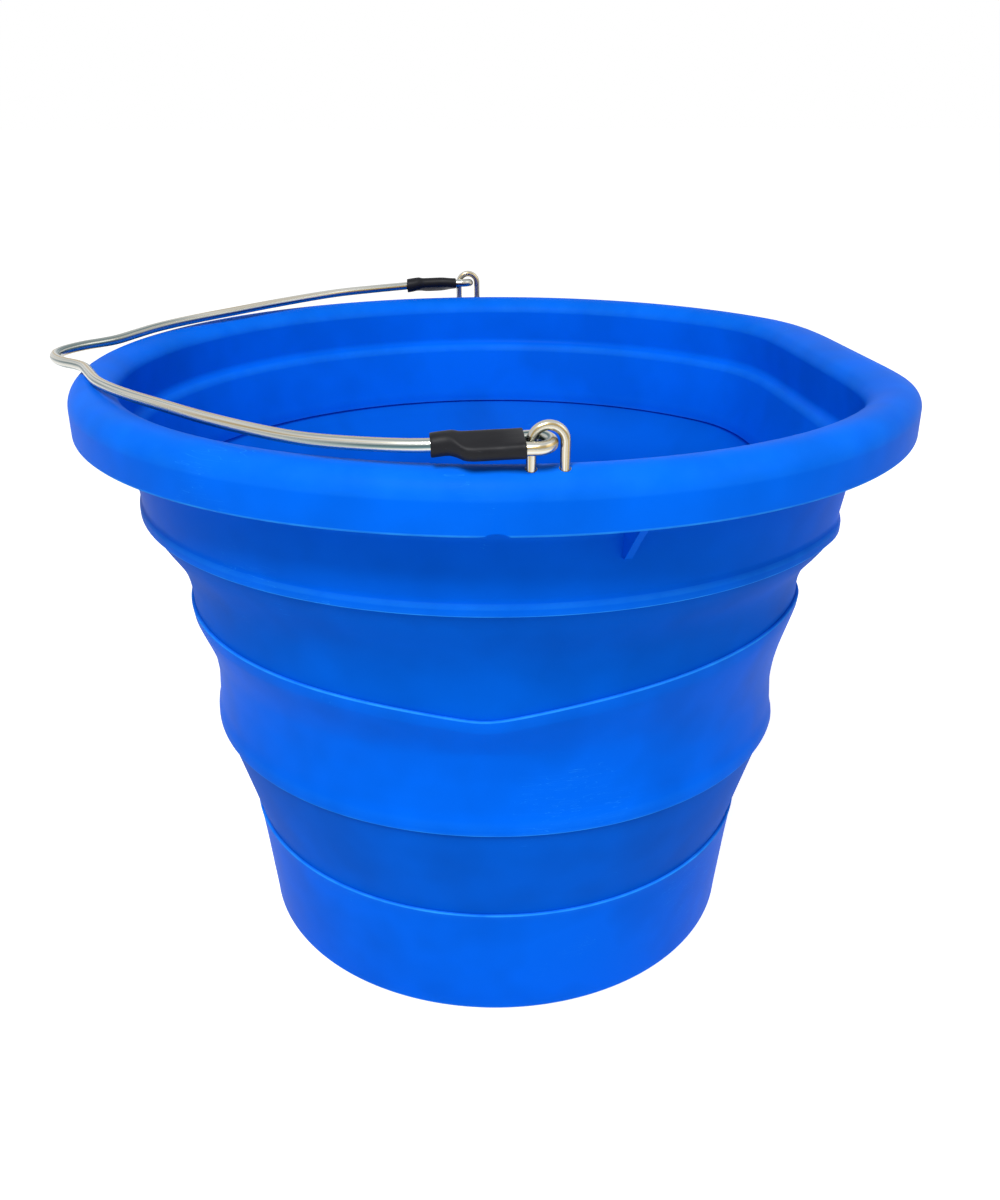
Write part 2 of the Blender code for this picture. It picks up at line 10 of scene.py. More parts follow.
import bmesh
import bpy
from mathutils import Matrix, Vector


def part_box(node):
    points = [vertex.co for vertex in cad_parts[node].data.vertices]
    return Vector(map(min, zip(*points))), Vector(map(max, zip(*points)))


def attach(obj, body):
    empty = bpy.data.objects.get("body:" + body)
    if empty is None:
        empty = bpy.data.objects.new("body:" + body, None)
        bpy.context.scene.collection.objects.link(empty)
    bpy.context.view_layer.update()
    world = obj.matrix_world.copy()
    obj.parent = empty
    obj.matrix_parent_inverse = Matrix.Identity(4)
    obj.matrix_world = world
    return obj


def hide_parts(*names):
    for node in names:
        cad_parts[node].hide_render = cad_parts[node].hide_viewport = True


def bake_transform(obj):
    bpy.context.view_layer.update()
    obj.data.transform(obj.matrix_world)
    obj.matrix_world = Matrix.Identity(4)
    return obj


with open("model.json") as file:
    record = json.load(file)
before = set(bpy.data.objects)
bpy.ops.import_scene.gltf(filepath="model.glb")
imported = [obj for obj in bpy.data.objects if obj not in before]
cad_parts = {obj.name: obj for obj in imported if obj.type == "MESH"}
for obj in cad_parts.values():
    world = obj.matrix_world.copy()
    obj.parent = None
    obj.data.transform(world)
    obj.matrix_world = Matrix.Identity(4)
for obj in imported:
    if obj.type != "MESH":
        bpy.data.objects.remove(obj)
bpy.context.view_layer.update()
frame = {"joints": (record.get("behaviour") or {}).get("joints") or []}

# %% [markdown]
# ## Levels and radii
# A ring's box says where it starts and ends, so the levels are read from the frame and not typed in.
# What a box can't say, such as a wall's thickness inside the ring, is a named value here.

# %% Read the levels from the frame
cup_low, cup_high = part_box("base_cup")
ring_low, ring_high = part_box("middle_ring")
rim_low, rim_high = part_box("rim_collar")
staple_low, staple_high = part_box("right_staple")
swing = next(joint for joint in frame["joints"] if joint["name"] == "bail_swing")

CUP_TOP = cup_high[2]
MIDDLE_FOOT = ring_low[2]
MIDDLE_TOP = 0.1640
COLLAR_FOOT = rim_low[2]
RIM_TOP = rim_high[2]
RIM_RADIUS = rim_high[1]
CUP_RADIUS = cup_high[1]
MIDDLE_TOP_RADIUS = ring_high[1]
PIVOT_LEVEL = swing["pos_m"][2]
STAPLE_RADIUS = -(staple_low[1] + staple_high[1]) / 2
FLAT_AT_RIM = RIM_RADIUS - rim_high[0]
print("rim radius", round(RIM_RADIUS, 4), "staples at", round(STAPLE_RADIUS, 4))

# %% Name the sizes that a box doesn't give
FOOT_RADIUS = 0.1085
MIDDLE_FOOT_RADIUS = 0.1272
MIDDLE_WAIST_RADIUS = 0.1252
COLLAR_FOOT_RADIUS = 0.1490
COLLAR_RADIUS = 0.1508
MOUTH_RADIUS = 0.1515
MOUTH_FOOT = RIM_TOP - 0.0240
RIGID_WALL = 0.0026
FOLD_WALL = 0.0018
RIM_WALL = 0.0030
FLOOR_WALL = 0.0030
EDGE_WIDTH = 0.0046
GROOVE_DEPTH = 0.0025
GAP = 0.0003
SEAM = 0.00004
BEAD_HEIGHT = 0.0045
SKIRT_HEIGHT = 0.0190
RIM_ROUND = 0.0085
MOUTH_ROUND = 0.0070
CREST_RADIUS = RIM_RADIUS - RIM_ROUND
MOUTH_OUTSIDE = MOUTH_RADIUS + RIM_WALL
SKIRT_INSIDE = RIM_RADIUS - RIM_WALL

# %% [markdown]
# ## The flat back and the dipped edge
# The bucket is round, but a stretch of its back is flat so that it stands close to a wall.
# The flat's depth changes with the level, and so it is stored on each profile point and read later
# by the node tree that turns the profile. The middle ring's top edge is highest at the flat, dips
# on both sides and stays low in front. The share of that drop is stored in the same way.

# %% Depth of the flat and share of the dip at each level
FLAT_STATIONS = (
    (0.0, 0.0),
    (CUP_TOP, 0.0034),
    (MIDDLE_FOOT, 0.0062),
    (MIDDLE_TOP, 0.0086),
    (COLLAR_FOOT, 0.0175),
    (MOUTH_FOOT, 0.0155),
)
DIP_LEVEL = 0.0045
DIP_FADE = 0.0250


def between(value, stations):
    """Straight-line reading of a value from (place, reading) stations."""
    for (low, first), (high, second) in zip(stations, stations[1:]):
        if value <= high:
            share = max(0.0, (value - low) / (high - low))
            return first + (second - first) * share
    return stations[-1][1]


def flat_depth(radius, level):
    """How far the flat back lies inside the round of this radius at this level."""
    wall = between(level, FLAT_STATIONS)
    if radius <= MOUTH_OUTSIDE:
        return wall
    return between(radius, ((MOUTH_OUTSIDE, wall), (SKIRT_INSIDE, FLAT_AT_RIM)))


def dip_share(level):
    """How much of the edge's dip a point at this level follows."""
    beyond = abs(level - MIDDLE_TOP) - DIP_LEVEL
    return max(0.0, 1 - max(0.0, beyond) / DIP_FADE)


print("flat depth at the rim", round(flat_depth(RIM_RADIUS, RIM_TOP), 4))

# %% [markdown]
# ## Outlines with rounded corners
# A moulded edge is never sharp. An outline is written as a few corner points, each with the radius
# of its round, and a helper puts an arc at each corner. It keeps the outline readable and lets the
# light catch every edge.


# %% Helpers for outlines
def arc(centre, width, height, start, end, steps):
    """Points on an elliptical arc, from start to end in degrees, both included."""
    turns = [math.radians(start + (end - start) * i / steps) for i in range(steps + 1)]
    return [(centre[0] + width * math.cos(t), centre[1] + height * math.sin(t)) for t in turns]


def bow(first, second, third, fourth, steps):
    """Points on a cubic curve between two ends, both included."""
    ends = [Vector(point) for point in (first, second, third, fourth)]
    points = []
    for i in range(steps + 1):
        t = i / steps
        weights = ((1 - t) ** 3, 3 * t * (1 - t) ** 2, 3 * t * t * (1 - t), t ** 3)
        points.append(tuple(sum((p * w for p, w in zip(ends, weights)), Vector((0, 0)))))
    return points


def rounded(corners, steps=4):
    """A closed outline of (radius, level, round) corners, with a small arc at each rounded one."""
    points = []
    for i, (x, y, size) in enumerate(corners):
        here = Vector((x, y))
        before = Vector(corners[i - 1][:2]) - here
        after = Vector(corners[(i + 1) % len(corners)][:2]) - here
        reach = min(size, before.length * 0.49, after.length * 0.49)
        if reach < 0.00002:
            points.append((x, y))
            continue
        start = here + before.normalized() * reach
        end = here + after.normalized() * reach
        for j in range(steps + 1):
            t = j / steps
            spot = start * (1 - t) ** 2 + here * 2 * t * (1 - t) + end * t * t
            points.append(tuple(spot))
    return points


def corners_of(points, size=0.0):
    """Plain points as corners that all have one round."""
    return [(x, y, size) for x, y in points]


def groove(outer_radius, level, upward):
    """The corners of a ring's grooved edge, from its outer side to its inner side.

    The wall fills an upward groove, and leaves a fine shadow line round a downward one.
    """
    side = 1 if upward else -1
    seam = SEAM if upward else GAP
    outside = outer_radius - (EDGE_WIDTH - FOLD_WALL) / 2 + seam
    inside = outside - FOLD_WALL - 2 * seam
    floor = level - side * (GROOVE_DEPTH + GAP)
    return [
        (outer_radius, level, 0.0011),
        (outside, level, 0.0003),
        (outside, floor, 0.0),
        (inside, floor, 0.0),
        (inside, level, 0.0003),
        (outer_radius - EDGE_WIDTH, level, 0.0008),
    ]


print("a rounded square has", len(rounded(corners_of(((0, 0), (1, 0), (1, 1), (0, 1)), 0.2))), "points")

# %% [markdown]
# ## A node tree that turns a profile
# Every ring and wall is one outline turned about the upright axis and then pressed flat at the
# back. The Screw modifier can turn it, but can't press it, so Geometry Nodes do both: a grid gets
# one column for each step round the axis and one row for each outline point, and Set Position puts
# every grid point where the rule says. The outline's points carry the flat's depth, the dip's
# share and an edge mark, and Sample Index reads them.


# %% Small helpers for building node trees
def new_socket(tree, name, kind, default=None, output=False):
    """Adds a named input or output to a node group."""
    side = "OUTPUT" if output else "INPUT"
    socket = tree.interface.new_socket(name=name, in_out=side, socket_type=kind)
    if default is not None:
        socket.default_value = default
    return socket


class Sums:
    """Writes chains of Math nodes in a tree, one call for each node."""

    def __init__(self, tree):
        self.tree = tree

    def __call__(self, operation, *values):
        node = self.tree.nodes.new("ShaderNodeMath")
        node.operation = operation
        for socket, value in zip(node.inputs, values):
            if isinstance(value, bpy.types.NodeSocket):
                self.tree.links.new(value, socket)
            else:
                socket.default_value = value
        return node.outputs[0]


def add_node(tree, kind, settings=(), **inputs):
    """Adds a node, sets its properties, and fills inputs by name with values or links."""
    node = tree.nodes.new(kind)
    for key, value in dict(settings).items():
        setattr(node, key, value)
    for name, value in inputs.items():
        socket = node.inputs[name.replace("_", " ")]
        if isinstance(value, bpy.types.NodeSocket):
            tree.links.new(value, socket)
        else:
            socket.default_value = value
    return node


# %% Build the turning tree
def turning_tree():
    tree = bpy.data.node_groups.new("Turn and press flat", "GeometryNodeTree")
    new_socket(tree, "Geometry", "NodeSocketGeometry")
    new_socket(tree, "Steps Round", "NodeSocketInt", 240)
    new_socket(tree, "Corner Share", "NodeSocketFloat", 0.8)
    new_socket(tree, "Dip", "NodeSocketFloat", 0.0120)
    new_socket(tree, "Front Drop", "NodeSocketFloat", 0.0070)
    new_socket(tree, "Dip Angle", "NodeSocketFloat", math.radians(97.0))
    new_socket(tree, "Back Spread", "NodeSocketFloat", math.radians(22.0))
    new_socket(tree, "Front Spread", "NodeSocketFloat", math.radians(12.0))
    new_socket(tree, "Dip Tip", "NodeSocketFloat", math.radians(3.0))
    new_socket(tree, "Material", "NodeSocketMaterial")
    new_socket(tree, "Geometry", "NodeSocketGeometry", output=True)
    given = tree.nodes.new("NodeGroupInput").outputs
    math_node = Sums(tree)
    outline = given["Geometry"]

    count = add_node(tree, "GeometryNodeAttributeDomainSize", Geometry=outline).outputs["Point Count"]
    columns = math_node("ADD", given["Steps Round"], 1.0)
    grid = add_node(
        tree, "GeometryNodeMeshGrid", Size_X=1.0, Size_Y=1.0, Vertices_X=columns, Vertices_Y=count
    ).outputs["Mesh"]
    place = tree.nodes.new("GeometryNodeInputPosition").outputs[0]
    flat_place = add_node(tree, "ShaderNodeSeparateXYZ", Vector=place).outputs
    angle = math_node("MULTIPLY", math_node("ADD", flat_place["X"], 0.5), 2 * math.pi)
    last = math_node("SUBTRACT", count, 1.0)
    row = math_node("ROUND", math_node("MULTIPLY", math_node("ADD", flat_place["Y"], 0.5), last))

    def outline_value(name):
        """The outline's stored value at this row."""
        read = tree.nodes.new("GeometryNodeInputNamedAttribute")
        read.data_type = "FLOAT"
        read.inputs["Name"].default_value = name
        sample = add_node(tree, "GeometryNodeSampleIndex", {"data_type": "FLOAT"}, Geometry=outline)
        tree.links.new(read.outputs["Attribute"], sample.inputs["Value"])
        tree.links.new(row, sample.inputs["Index"])
        return sample.outputs["Value"]

    radius = outline_value("radius")
    level = outline_value("level")
    depth = outline_value("flat_depth")
    share = outline_value("dip_share")

    x = math_node("MULTIPLY", radius, math_node("COSINE", angle))
    y = math_node("MULTIPLY", radius, math_node("SINE", angle))
    plane = math_node("SUBTRACT", radius, depth)
    corner = math_node("MAXIMUM", math_node("MULTIPLY", depth, given["Corner Share"]), 0.000001)
    apart = math_node("ABSOLUTE", math_node("SUBTRACT", x, plane))
    blend = math_node("MAXIMUM", math_node("SUBTRACT", corner, apart), 0.0)
    eased = math_node("DIVIDE", math_node("MULTIPLY", blend, blend), math_node("MULTIPLY", corner, 4.0))
    pressed = math_node("SUBTRACT", math_node("MINIMUM", x, plane), eased)

    turn = math_node("ABSOLUTE", math_node("ARCTAN2", y, pressed))
    away = math_node("SUBTRACT", turn, given["Dip Angle"])
    in_front = math_node("GREATER_THAN", away, 0.0)
    floor = math_node("MULTIPLY", in_front, given["Front Drop"])
    wider = math_node("SUBTRACT", given["Front Spread"], given["Back Spread"])
    spread = math_node("MULTIPLY_ADD", in_front, wider, given["Back Spread"])
    tip = given["Dip Tip"]
    squares = math_node("ADD", math_node("MULTIPLY", away, away), math_node("MULTIPLY", tip, tip))
    fall = math_node("DIVIDE", math_node("SUBTRACT", tip, math_node("SQRT", squares)), spread)
    deeper = math_node("SUBTRACT", given["Dip"], floor)
    drop = math_node("MULTIPLY_ADD", deeper, math_node("EXPONENT", fall), floor)
    lowered = math_node("SUBTRACT", level, math_node("MULTIPLY", drop, share))

    spot = add_node(tree, "ShaderNodeCombineXYZ", X=pressed, Y=y, Z=lowered).outputs[0]
    marked = add_node(
        tree,
        "GeometryNodeStoreNamedAttribute",
        {"data_type": "FLOAT", "domain": "POINT"},
        Geometry=grid,
        Name="edge",
        Value=outline_value("edge"),
    ).outputs[0]
    put = add_node(tree, "GeometryNodeSetPosition", Geometry=marked, Position=spot).outputs[0]
    joined = add_node(tree, "GeometryNodeMergeByDistance", Geometry=put, Distance=0.000004).outputs[0]
    shaded = add_node(tree, "GeometryNodeSetShadeSmooth", Geometry=joined).outputs[0]
    real = add_node(tree, "GeometryNodeRealizeInstances", Geometry=shaded).outputs[0]
    painted = add_node(tree, "GeometryNodeSetMaterial", Geometry=real, Material=given["Material"])
    end = tree.nodes.new("NodeGroupOutput")
    tree.links.new(painted.outputs[0], end.inputs["Geometry"])
    return tree


TURNING = turning_tree()
print("the turning tree has", len(TURNING.nodes), "nodes")


# %% Use the tree and keep its result as a plain mesh
def set_inputs(modifier, **values):
    """Sets a Geometry Nodes modifier's inputs by their names, through the sockets' identifiers."""
    for item in modifier.node_group.interface.items_tree:
        key = item.name.replace(" ", "_")
        if item.in_out == "INPUT" and key in values:
            modifier[item.identifier] = values[key]


def plain_mesh(item, name):
    """The object's evaluated mesh on a new object at the origin, with its faces outward."""
    bpy.context.view_layer.update()
    graph = bpy.context.evaluated_depsgraph_get()
    data = bpy.data.meshes.new_from_object(item.evaluated_get(graph))
    data.transform(item.matrix_world)
    shape = bmesh.new()
    shape.from_mesh(data)
    bmesh.ops.remove_doubles(shape, verts=shape.verts, dist=0.000003)
    bmesh.ops.dissolve_degenerate(shape, edges=shape.edges, dist=0.0000005)
    bmesh.ops.recalc_face_normals(shape, faces=shape.faces)
    shape.to_mesh(data)
    shape.free()
    bpy.data.objects.remove(item, do_unlink=True)
    made = bpy.data.objects.new(name, data)
    bpy.context.scene.collection.objects.link(made)
    data.name = name
    return made


def edge_marks(points):
    """How sharply the outline turns outward at each point, from 0 on a straight run to 1 on an edge."""
    marks = []
    for i, here in enumerate(points):
        before = Vector(here) - Vector(points[i - 1])
        after = Vector(points[(i + 1) % len(points)]) - Vector(here)
        if before.length < 1e-7 or after.length < 1e-7:
            marks.append(0.0)
            continue
        bend = before.y * after.x - before.x * after.y
        curve = 2 * bend / (before.length * after.length * (before.length + after.length))
        marks.append(max(0.0, min(1.0, curve * 0.0011)))
    return marks


def turned(name, outline, finish, closed=True, steps=240):
    """Turns an outline of (radius, level) points into a shell with the flat back."""
    marks = edge_marks(outline)
    rows = list(outline) + ([outline[0]] if closed else [])
    marks += [marks[0]] if closed else []
    data = bpy.data.meshes.new(name + "_outline")
    edges = [(i, i + 1) for i in range(len(rows) - 1)]
    data.from_pydata([(radius, 0.0, level) for radius, level in rows], edges, [])
    stored = {
        "radius": [radius for radius, level in rows],
        "level": [level for radius, level in rows],
        "flat_depth": [flat_depth(radius, level) for radius, level in rows],
        "dip_share": [dip_share(level) for radius, level in rows],
        "edge": marks,
    }
    for key, values in stored.items():
        data.attributes.new(key, "FLOAT", "POINT").data.foreach_set("value", values)
    source = bpy.data.objects.new(name + "_outline", data)
    bpy.context.scene.collection.objects.link(source)
    modifier = source.modifiers.new("Turn", "NODES")
    modifier.node_group = TURNING
    set_inputs(modifier, Steps_Round=steps, Material=finish)
    made = plain_mesh(source, name)
    made.data.shade_smooth()
    made.data.set_sharp_from_angle(angle=math.radians(50.0))
    print(name, len(made.data.polygons), "faces")
    return made


# %% [markdown]
# ## Shared shader effects
# Both plastics have the same fine skin and scuffs, and the same painted highlight on their edges, so
# these are node groups, built once and placed in each material with its own values. A group only
# works out numbers and colours; the Principled shader stays in the material.


# %% Build the shared groups
def shader_group(name, inputs, outputs):
    tree = bpy.data.node_groups.new(name, "ShaderNodeTree")
    for label, kind, default in inputs:
        new_socket(tree, label, kind, default)
    for label, kind in outputs:
        new_socket(tree, label, kind, output=True)
    return tree, tree.nodes.new("NodeGroupInput").outputs, tree.nodes.new("NodeGroupOutput").inputs


def colour_mix(tree, factor, first, second):
    """A colour between two others, each a colour or a socket."""
    node = tree.nodes.new("ShaderNodeMix")
    node.data_type = "RGBA"
    tree.links.new(factor, node.inputs[0])
    for socket, value in ((node.inputs[6], first), (node.inputs[7], second)):
        if isinstance(value, bpy.types.NodeSocket):
            tree.links.new(value, socket)
        else:
            socket.default_value = (*value, 1.0)
    return node.outputs[2]


def object_noise(tree, scale, detail=3.0, roughness=0.55, stretch=(1.0, 1.0, 1.0)):
    """Noise on the object's own coordinates, in features per metre."""
    where = tree.nodes.new("ShaderNodeTexCoord").outputs["Object"]
    if stretch != (1.0, 1.0, 1.0):
        where = add_node(tree, "ShaderNodeMapping", Vector=where, Scale=stretch).outputs[0]
    return add_node(
        tree, "ShaderNodeTexNoise", Vector=where, Scale=scale, Detail=detail, Roughness=roughness
    ).outputs["Fac"]


def moulded_skin_group():
    """Fine orange-peel height with faint flow waves of the moulding."""
    tree, given, out = shader_group(
        "Moulded skin",
        (
            ("Grain Scale", "NodeSocketFloat", 1400.0),
            ("Grain", "NodeSocketFloat", 0.5),
            ("Wave Scale", "NodeSocketFloat", 26.0),
            ("Wave", "NodeSocketFloat", 1.0),
        ),
        (("Height", "NodeSocketFloat"), ("Mottle", "NodeSocketFloat")),
    )
    sums = Sums(tree)
    grain = object_noise(tree, given["Grain Scale"], 2.0)
    wave = object_noise(tree, given["Wave Scale"], 2.0)
    height = sums("ADD", sums("MULTIPLY", grain, given["Grain"]), sums("MULTIPLY", wave, given["Wave"]))
    tree.links.new(height, out["Height"])
    tree.links.new(wave, out["Mottle"])
    return tree


def scuff_group():
    """Thin scratches in patches, and a mask of pale rubbed edges that also paints a highlight on them.
    """
    tree, given, out = shader_group(
        "Handling marks and edge highlight",
        (
            ("Scratch Amount", "NodeSocketFloat", 0.5),
            ("Edge Wear And Highlight", "NodeSocketFloat", 0.5),
            ("Edge", "NodeSocketFloat", 0.0),
        ),
        (("Scratches", "NodeSocketFloat"), ("Rubbed", "NodeSocketFloat")),
    )
    sums = Sums(tree)
    lines = object_noise(tree, 60.0, 1.0, 0.5, (1.0, 1.0, 14.0))
    thin = sums("LESS_THAN", sums("ABSOLUTE", sums("SUBTRACT", lines, 0.5)), 0.0035)
    patches = sums("GREATER_THAN", object_noise(tree, 14.0, 2.0), 0.6)
    scratches = sums("MULTIPLY", sums("MULTIPLY", thin, patches), given["Scratch Amount"])
    broken = sums("MULTIPLY", object_noise(tree, 90.0, 4.0), 1.6)
    # Pale rubbed edges, broken by noise: wear that also paints a highlight along the edges.
    rubbed = sums("MULTIPLY", sums("MULTIPLY", given["Edge"], broken), given["Edge Wear And Highlight"])
    tree.links.new(scratches, out["Scratches"])
    tree.links.new(rubbed, out["Rubbed"])
    return tree


SKIN = moulded_skin_group()
MARKS_AND_EDGE_HIGHLIGHT = scuff_group()
print("shared groups:", SKIN.name, "and", MARKS_AND_EDGE_HIGHLIGHT.name)


# %% [markdown]
# ## Blue plastics
# The rigid rings are satin polypropylene and the fold walls are a softer, duller elastomer, their blue
# set darker to paint the shade that falls in the folds. The colour goes a little deeper where the
# moulding's flow waves thin it, a little paler on rubbed edges, as wear and a painted highlight, and
# the roughness changes with the same waves.


# %% Make the two plastics
def plastic(name, colour, pale, roughness, grain, wave, edge_wear_and_highlight):
    made = bpy.data.materials.new(name)
    made.use_nodes = True
    tree = made.node_tree
    shader = tree.nodes["Principled BSDF"]
    sums = Sums(tree)
    edge = tree.nodes.new("ShaderNodeAttribute")
    edge.attribute_name = "edge"
    skin = tree.nodes.new("ShaderNodeGroup")
    skin.node_tree = SKIN
    skin.inputs["Grain"].default_value = grain
    skin.inputs["Wave"].default_value = wave
    marks = tree.nodes.new("ShaderNodeGroup")
    marks.node_tree = MARKS_AND_EDGE_HIGHLIGHT
    marks.inputs["Edge Wear And Highlight"].default_value = edge_wear_and_highlight
    tree.links.new(edge.outputs["Fac"], marks.inputs["Edge"])
    deep = tuple(channel * 0.86 for channel in colour)
    spread = add_node(tree, "ShaderNodeMapRange", Value=skin.outputs["Mottle"])
    spread.inputs["From Min"].default_value = 0.35
    spread.inputs["From Max"].default_value = 0.6
    tone = colour_mix(tree, spread.outputs["Result"], deep, colour)
    # Pale wear on the edges, which also paints a highlight there, plus scratches.
    worn = sums("MINIMUM", sums("ADD", marks.outputs["Rubbed"], marks.outputs["Scratches"]), 1.0)
    paled_by_wear_and_highlight = colour_mix(tree, sums("MULTIPLY", worn, 0.8), tone, pale)
    tree.links.new(paled_by_wear_and_highlight, shader.inputs["Base Color"])
    rough = sums("ADD", sums("MULTIPLY", skin.outputs["Mottle"], 0.10), roughness - 0.05)
    tree.links.new(sums("ADD", rough, sums("MULTIPLY", worn, 0.12)), shader.inputs["Roughness"])
    bump = add_node(tree, "ShaderNodeBump", Strength=0.22, Distance=0.0002)
    tree.links.new(skin.outputs["Height"], bump.inputs["Height"])
    tree.links.new(bump.outputs[0], shader.inputs["Normal"])
    shader.inputs["Specular IOR Level"].default_value = 0.015
    return made


BLUE = (0.0, 0.138, 0.87)
# Pale blue of scratches and rubbed edges, which also paints a highlight along the edges.
PALE_BLUE_WEAR_AND_HIGHLIGHT = (0.03, 0.36, 1.0)
RIGID = plastic("rigid_plastic", BLUE, PALE_BLUE_WEAR_AND_HIGHLIGHT, 0.45, 0.35, 1.0, 0.9)
# The fold walls' blue is set darker than the rings' blue as painted shade for the folds.
SOFT_WITH_PAINTED_SHADE = plastic("soft_plastic", (0.0, 0.116, 0.70), (0.01, 0.2, 0.85), 0.55, 0.5, 1.2, 0.3)
print("plastics:", RIGID.name, SOFT_WITH_PAINTED_SHADE.name)


# %% [markdown]
# ## Base cup
# A tapered cup with a flat floor. Its outline starts on the axis at the floor's upper side, goes up
# the inner wall, over the grooved edge and down the outer wall to the underside. Two shallow rings
# in the underside are what a moulding tool leaves there.


# %% Make the base cup
def base_cup():
    inner_top = CUP_RADIUS - EDGE_WIDTH
    inner_foot = FOOT_RADIUS - RIGID_WALL
    corners = [
        (0.0, FLOOR_WALL, 0.0),
        (0.0180, FLOOR_WALL, 0.0010),
        (0.0190, FLOOR_WALL + 0.0006, 0.0010),
        (inner_foot - 0.0300, FLOOR_WALL + 0.0006, 0.0),
        (inner_foot - 0.0004, FLOOR_WALL + 0.0006, 0.0075),
        (inner_top - 0.0010, CUP_TOP - 0.0140, 0.0020),
        (inner_top, CUP_TOP - 2 * BEAD_HEIGHT, 0.0020),
        *groove(CUP_RADIUS, CUP_TOP, True)[::-1],
        (CUP_RADIUS - 0.0008, CUP_TOP - BEAD_HEIGHT, 0.0020),
        (CUP_RADIUS - 0.0022, CUP_TOP - 0.0170, 0.0060),
        (FOOT_RADIUS + 0.0004, 0.0060, 0.0),
        (FOOT_RADIUS, 0.0, 0.0019),
    ]
    for ring in (0.0960, 0.0620, 0.0240):
        corners += [
            (ring + 0.0012, 0.0, 0.0003),
            (ring + 0.0006, 0.0007, 0.0003),
            (ring - 0.0006, 0.0007, 0.0003),
            (ring - 0.0012, 0.0, 0.0003),
        ]
    corners.append((0.0, 0.0, 0.0))
    return turned("base_cup_shell", rounded(corners, 5), RIGID, closed=False)


cup = base_cup()
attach(cup, "base")
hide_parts("base_cup")

# %% [markdown]
# ## Middle ring
# A waisted ring. Its top edge stands a little proud of the fold wall above it and its foot is a
# bead, and both catch the light as a thin bright line.


# %% Make the middle ring
def middle_ring():
    shoulder = (MIDDLE_TOP_RADIUS - 0.0006, MIDDLE_TOP - BEAD_HEIGHT)
    waist = (MIDDLE_WAIST_RADIUS, MIDDLE_FOOT + (MIDDLE_TOP - MIDDLE_FOOT) * 0.33)
    swell = (waist[0] + 0.0048, shoulder[1] - 0.0120)
    outside = bow(shoulder, swell, (waist[0] + 0.0004, waist[1] + 0.0150), waist, 16)
    inside = [(radius - RIGID_WALL, level) for radius, level in outside]
    corners = groove(MIDDLE_TOP_RADIUS, MIDDLE_TOP, True)[::-1]
    corners += corners_of(outside)
    corners.append((MIDDLE_FOOT_RADIUS - 0.0013, MIDDLE_FOOT + 0.0085, 0.0040))
    corners.append((MIDDLE_FOOT_RADIUS - 0.0001, MIDDLE_FOOT + 0.0038, 0.0020))
    corners += groove(MIDDLE_FOOT_RADIUS, MIDDLE_FOOT, False)
    corners.append((MIDDLE_FOOT_RADIUS - EDGE_WIDTH, MIDDLE_FOOT + BEAD_HEIGHT, 0.0020))
    corners += corners_of(inside[::-1])
    corners.append((MIDDLE_TOP_RADIUS - EDGE_WIDTH, MIDDLE_TOP - BEAD_HEIGHT, 0.0015))
    return turned("middle_ring_shell", rounded(corners, 5), RIGID)


ring = middle_ring()
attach(ring, "middle")
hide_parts("middle_ring")

# %% [markdown]
# ## Rim and collar
# The rim is a rounded top with a skirt hanging from its outer side. Inside it the mouth wall steps
# in to the collar, whose bead holds the upper fold wall. Leg holes and the small nick in the skirt's
# edge are Booleans, because they break the turned form in a few places only; the ribs are separate
# plates.


# %% Make the rim's turned form
def rim_shell():
    crest = (CREST_RADIUS, RIM_TOP - RIM_ROUND)
    mouth = (CREST_RADIUS, RIM_TOP - MOUTH_ROUND)
    under = RIM_ROUND - RIM_WALL
    skirt_foot = RIM_TOP - SKIRT_HEIGHT
    channel = (CREST_RADIUS, mouth[1] - RIM_WALL)
    corners = corners_of(arc(crest, RIM_ROUND, RIM_ROUND, 90, 0, 14))
    corners += [(RIM_RADIUS, skirt_foot, 0.0011), (SKIRT_INSIDE, skirt_foot, 0.0008)]
    corners += corners_of(arc(crest, under, under, 0, 90, 8))
    corners += corners_of(arc(channel, CREST_RADIUS - MOUTH_OUTSIDE, MOUTH_ROUND, 90, 180, 8)[1:])
    corners += [
        (MOUTH_OUTSIDE, MOUTH_FOOT + 0.0020, 0.0015),
        (COLLAR_RADIUS, MOUTH_FOOT - 0.0015, 0.0025),
        (COLLAR_FOOT_RADIUS - 0.0012, COLLAR_FOOT + BEAD_HEIGHT + 0.0010, 0.0025),
        (COLLAR_FOOT_RADIUS, COLLAR_FOOT + BEAD_HEIGHT - 0.0010, 0.0015),
    ]
    corners += groove(COLLAR_FOOT_RADIUS, COLLAR_FOOT, False)
    corners += [
        (COLLAR_FOOT_RADIUS - EDGE_WIDTH, COLLAR_FOOT + BEAD_HEIGHT, 0.0030),
        (COLLAR_RADIUS - RIGID_WALL, MOUTH_FOOT - 0.0010, 0.0025),
        (MOUTH_RADIUS, MOUTH_FOOT + 0.0020, 0.0018),
    ]
    corners += corners_of(arc(mouth, CREST_RADIUS - MOUTH_RADIUS, MOUTH_ROUND, 180, 90, 14)[:-1])
    return turned("rim_collar_shell", rounded(corners, 5), RIGID, steps=288)


rim = rim_shell()

# %% [markdown]
# The rim is moulded with two plates that stiffen its skirt, and the staples' legs pass through its
# top. The plates repeat round the axis, so a node tree copies one plate to a list of angles. The
# leg holes are cut with one Boolean.

# %% Build the tree that copies a piece round the axis
STAPLE_ARCH = 0.0049
STAPLE_WIRE = 0.0030
RIB_ANGLE = math.radians(79.5)
RIB_THICKNESS = 0.0026


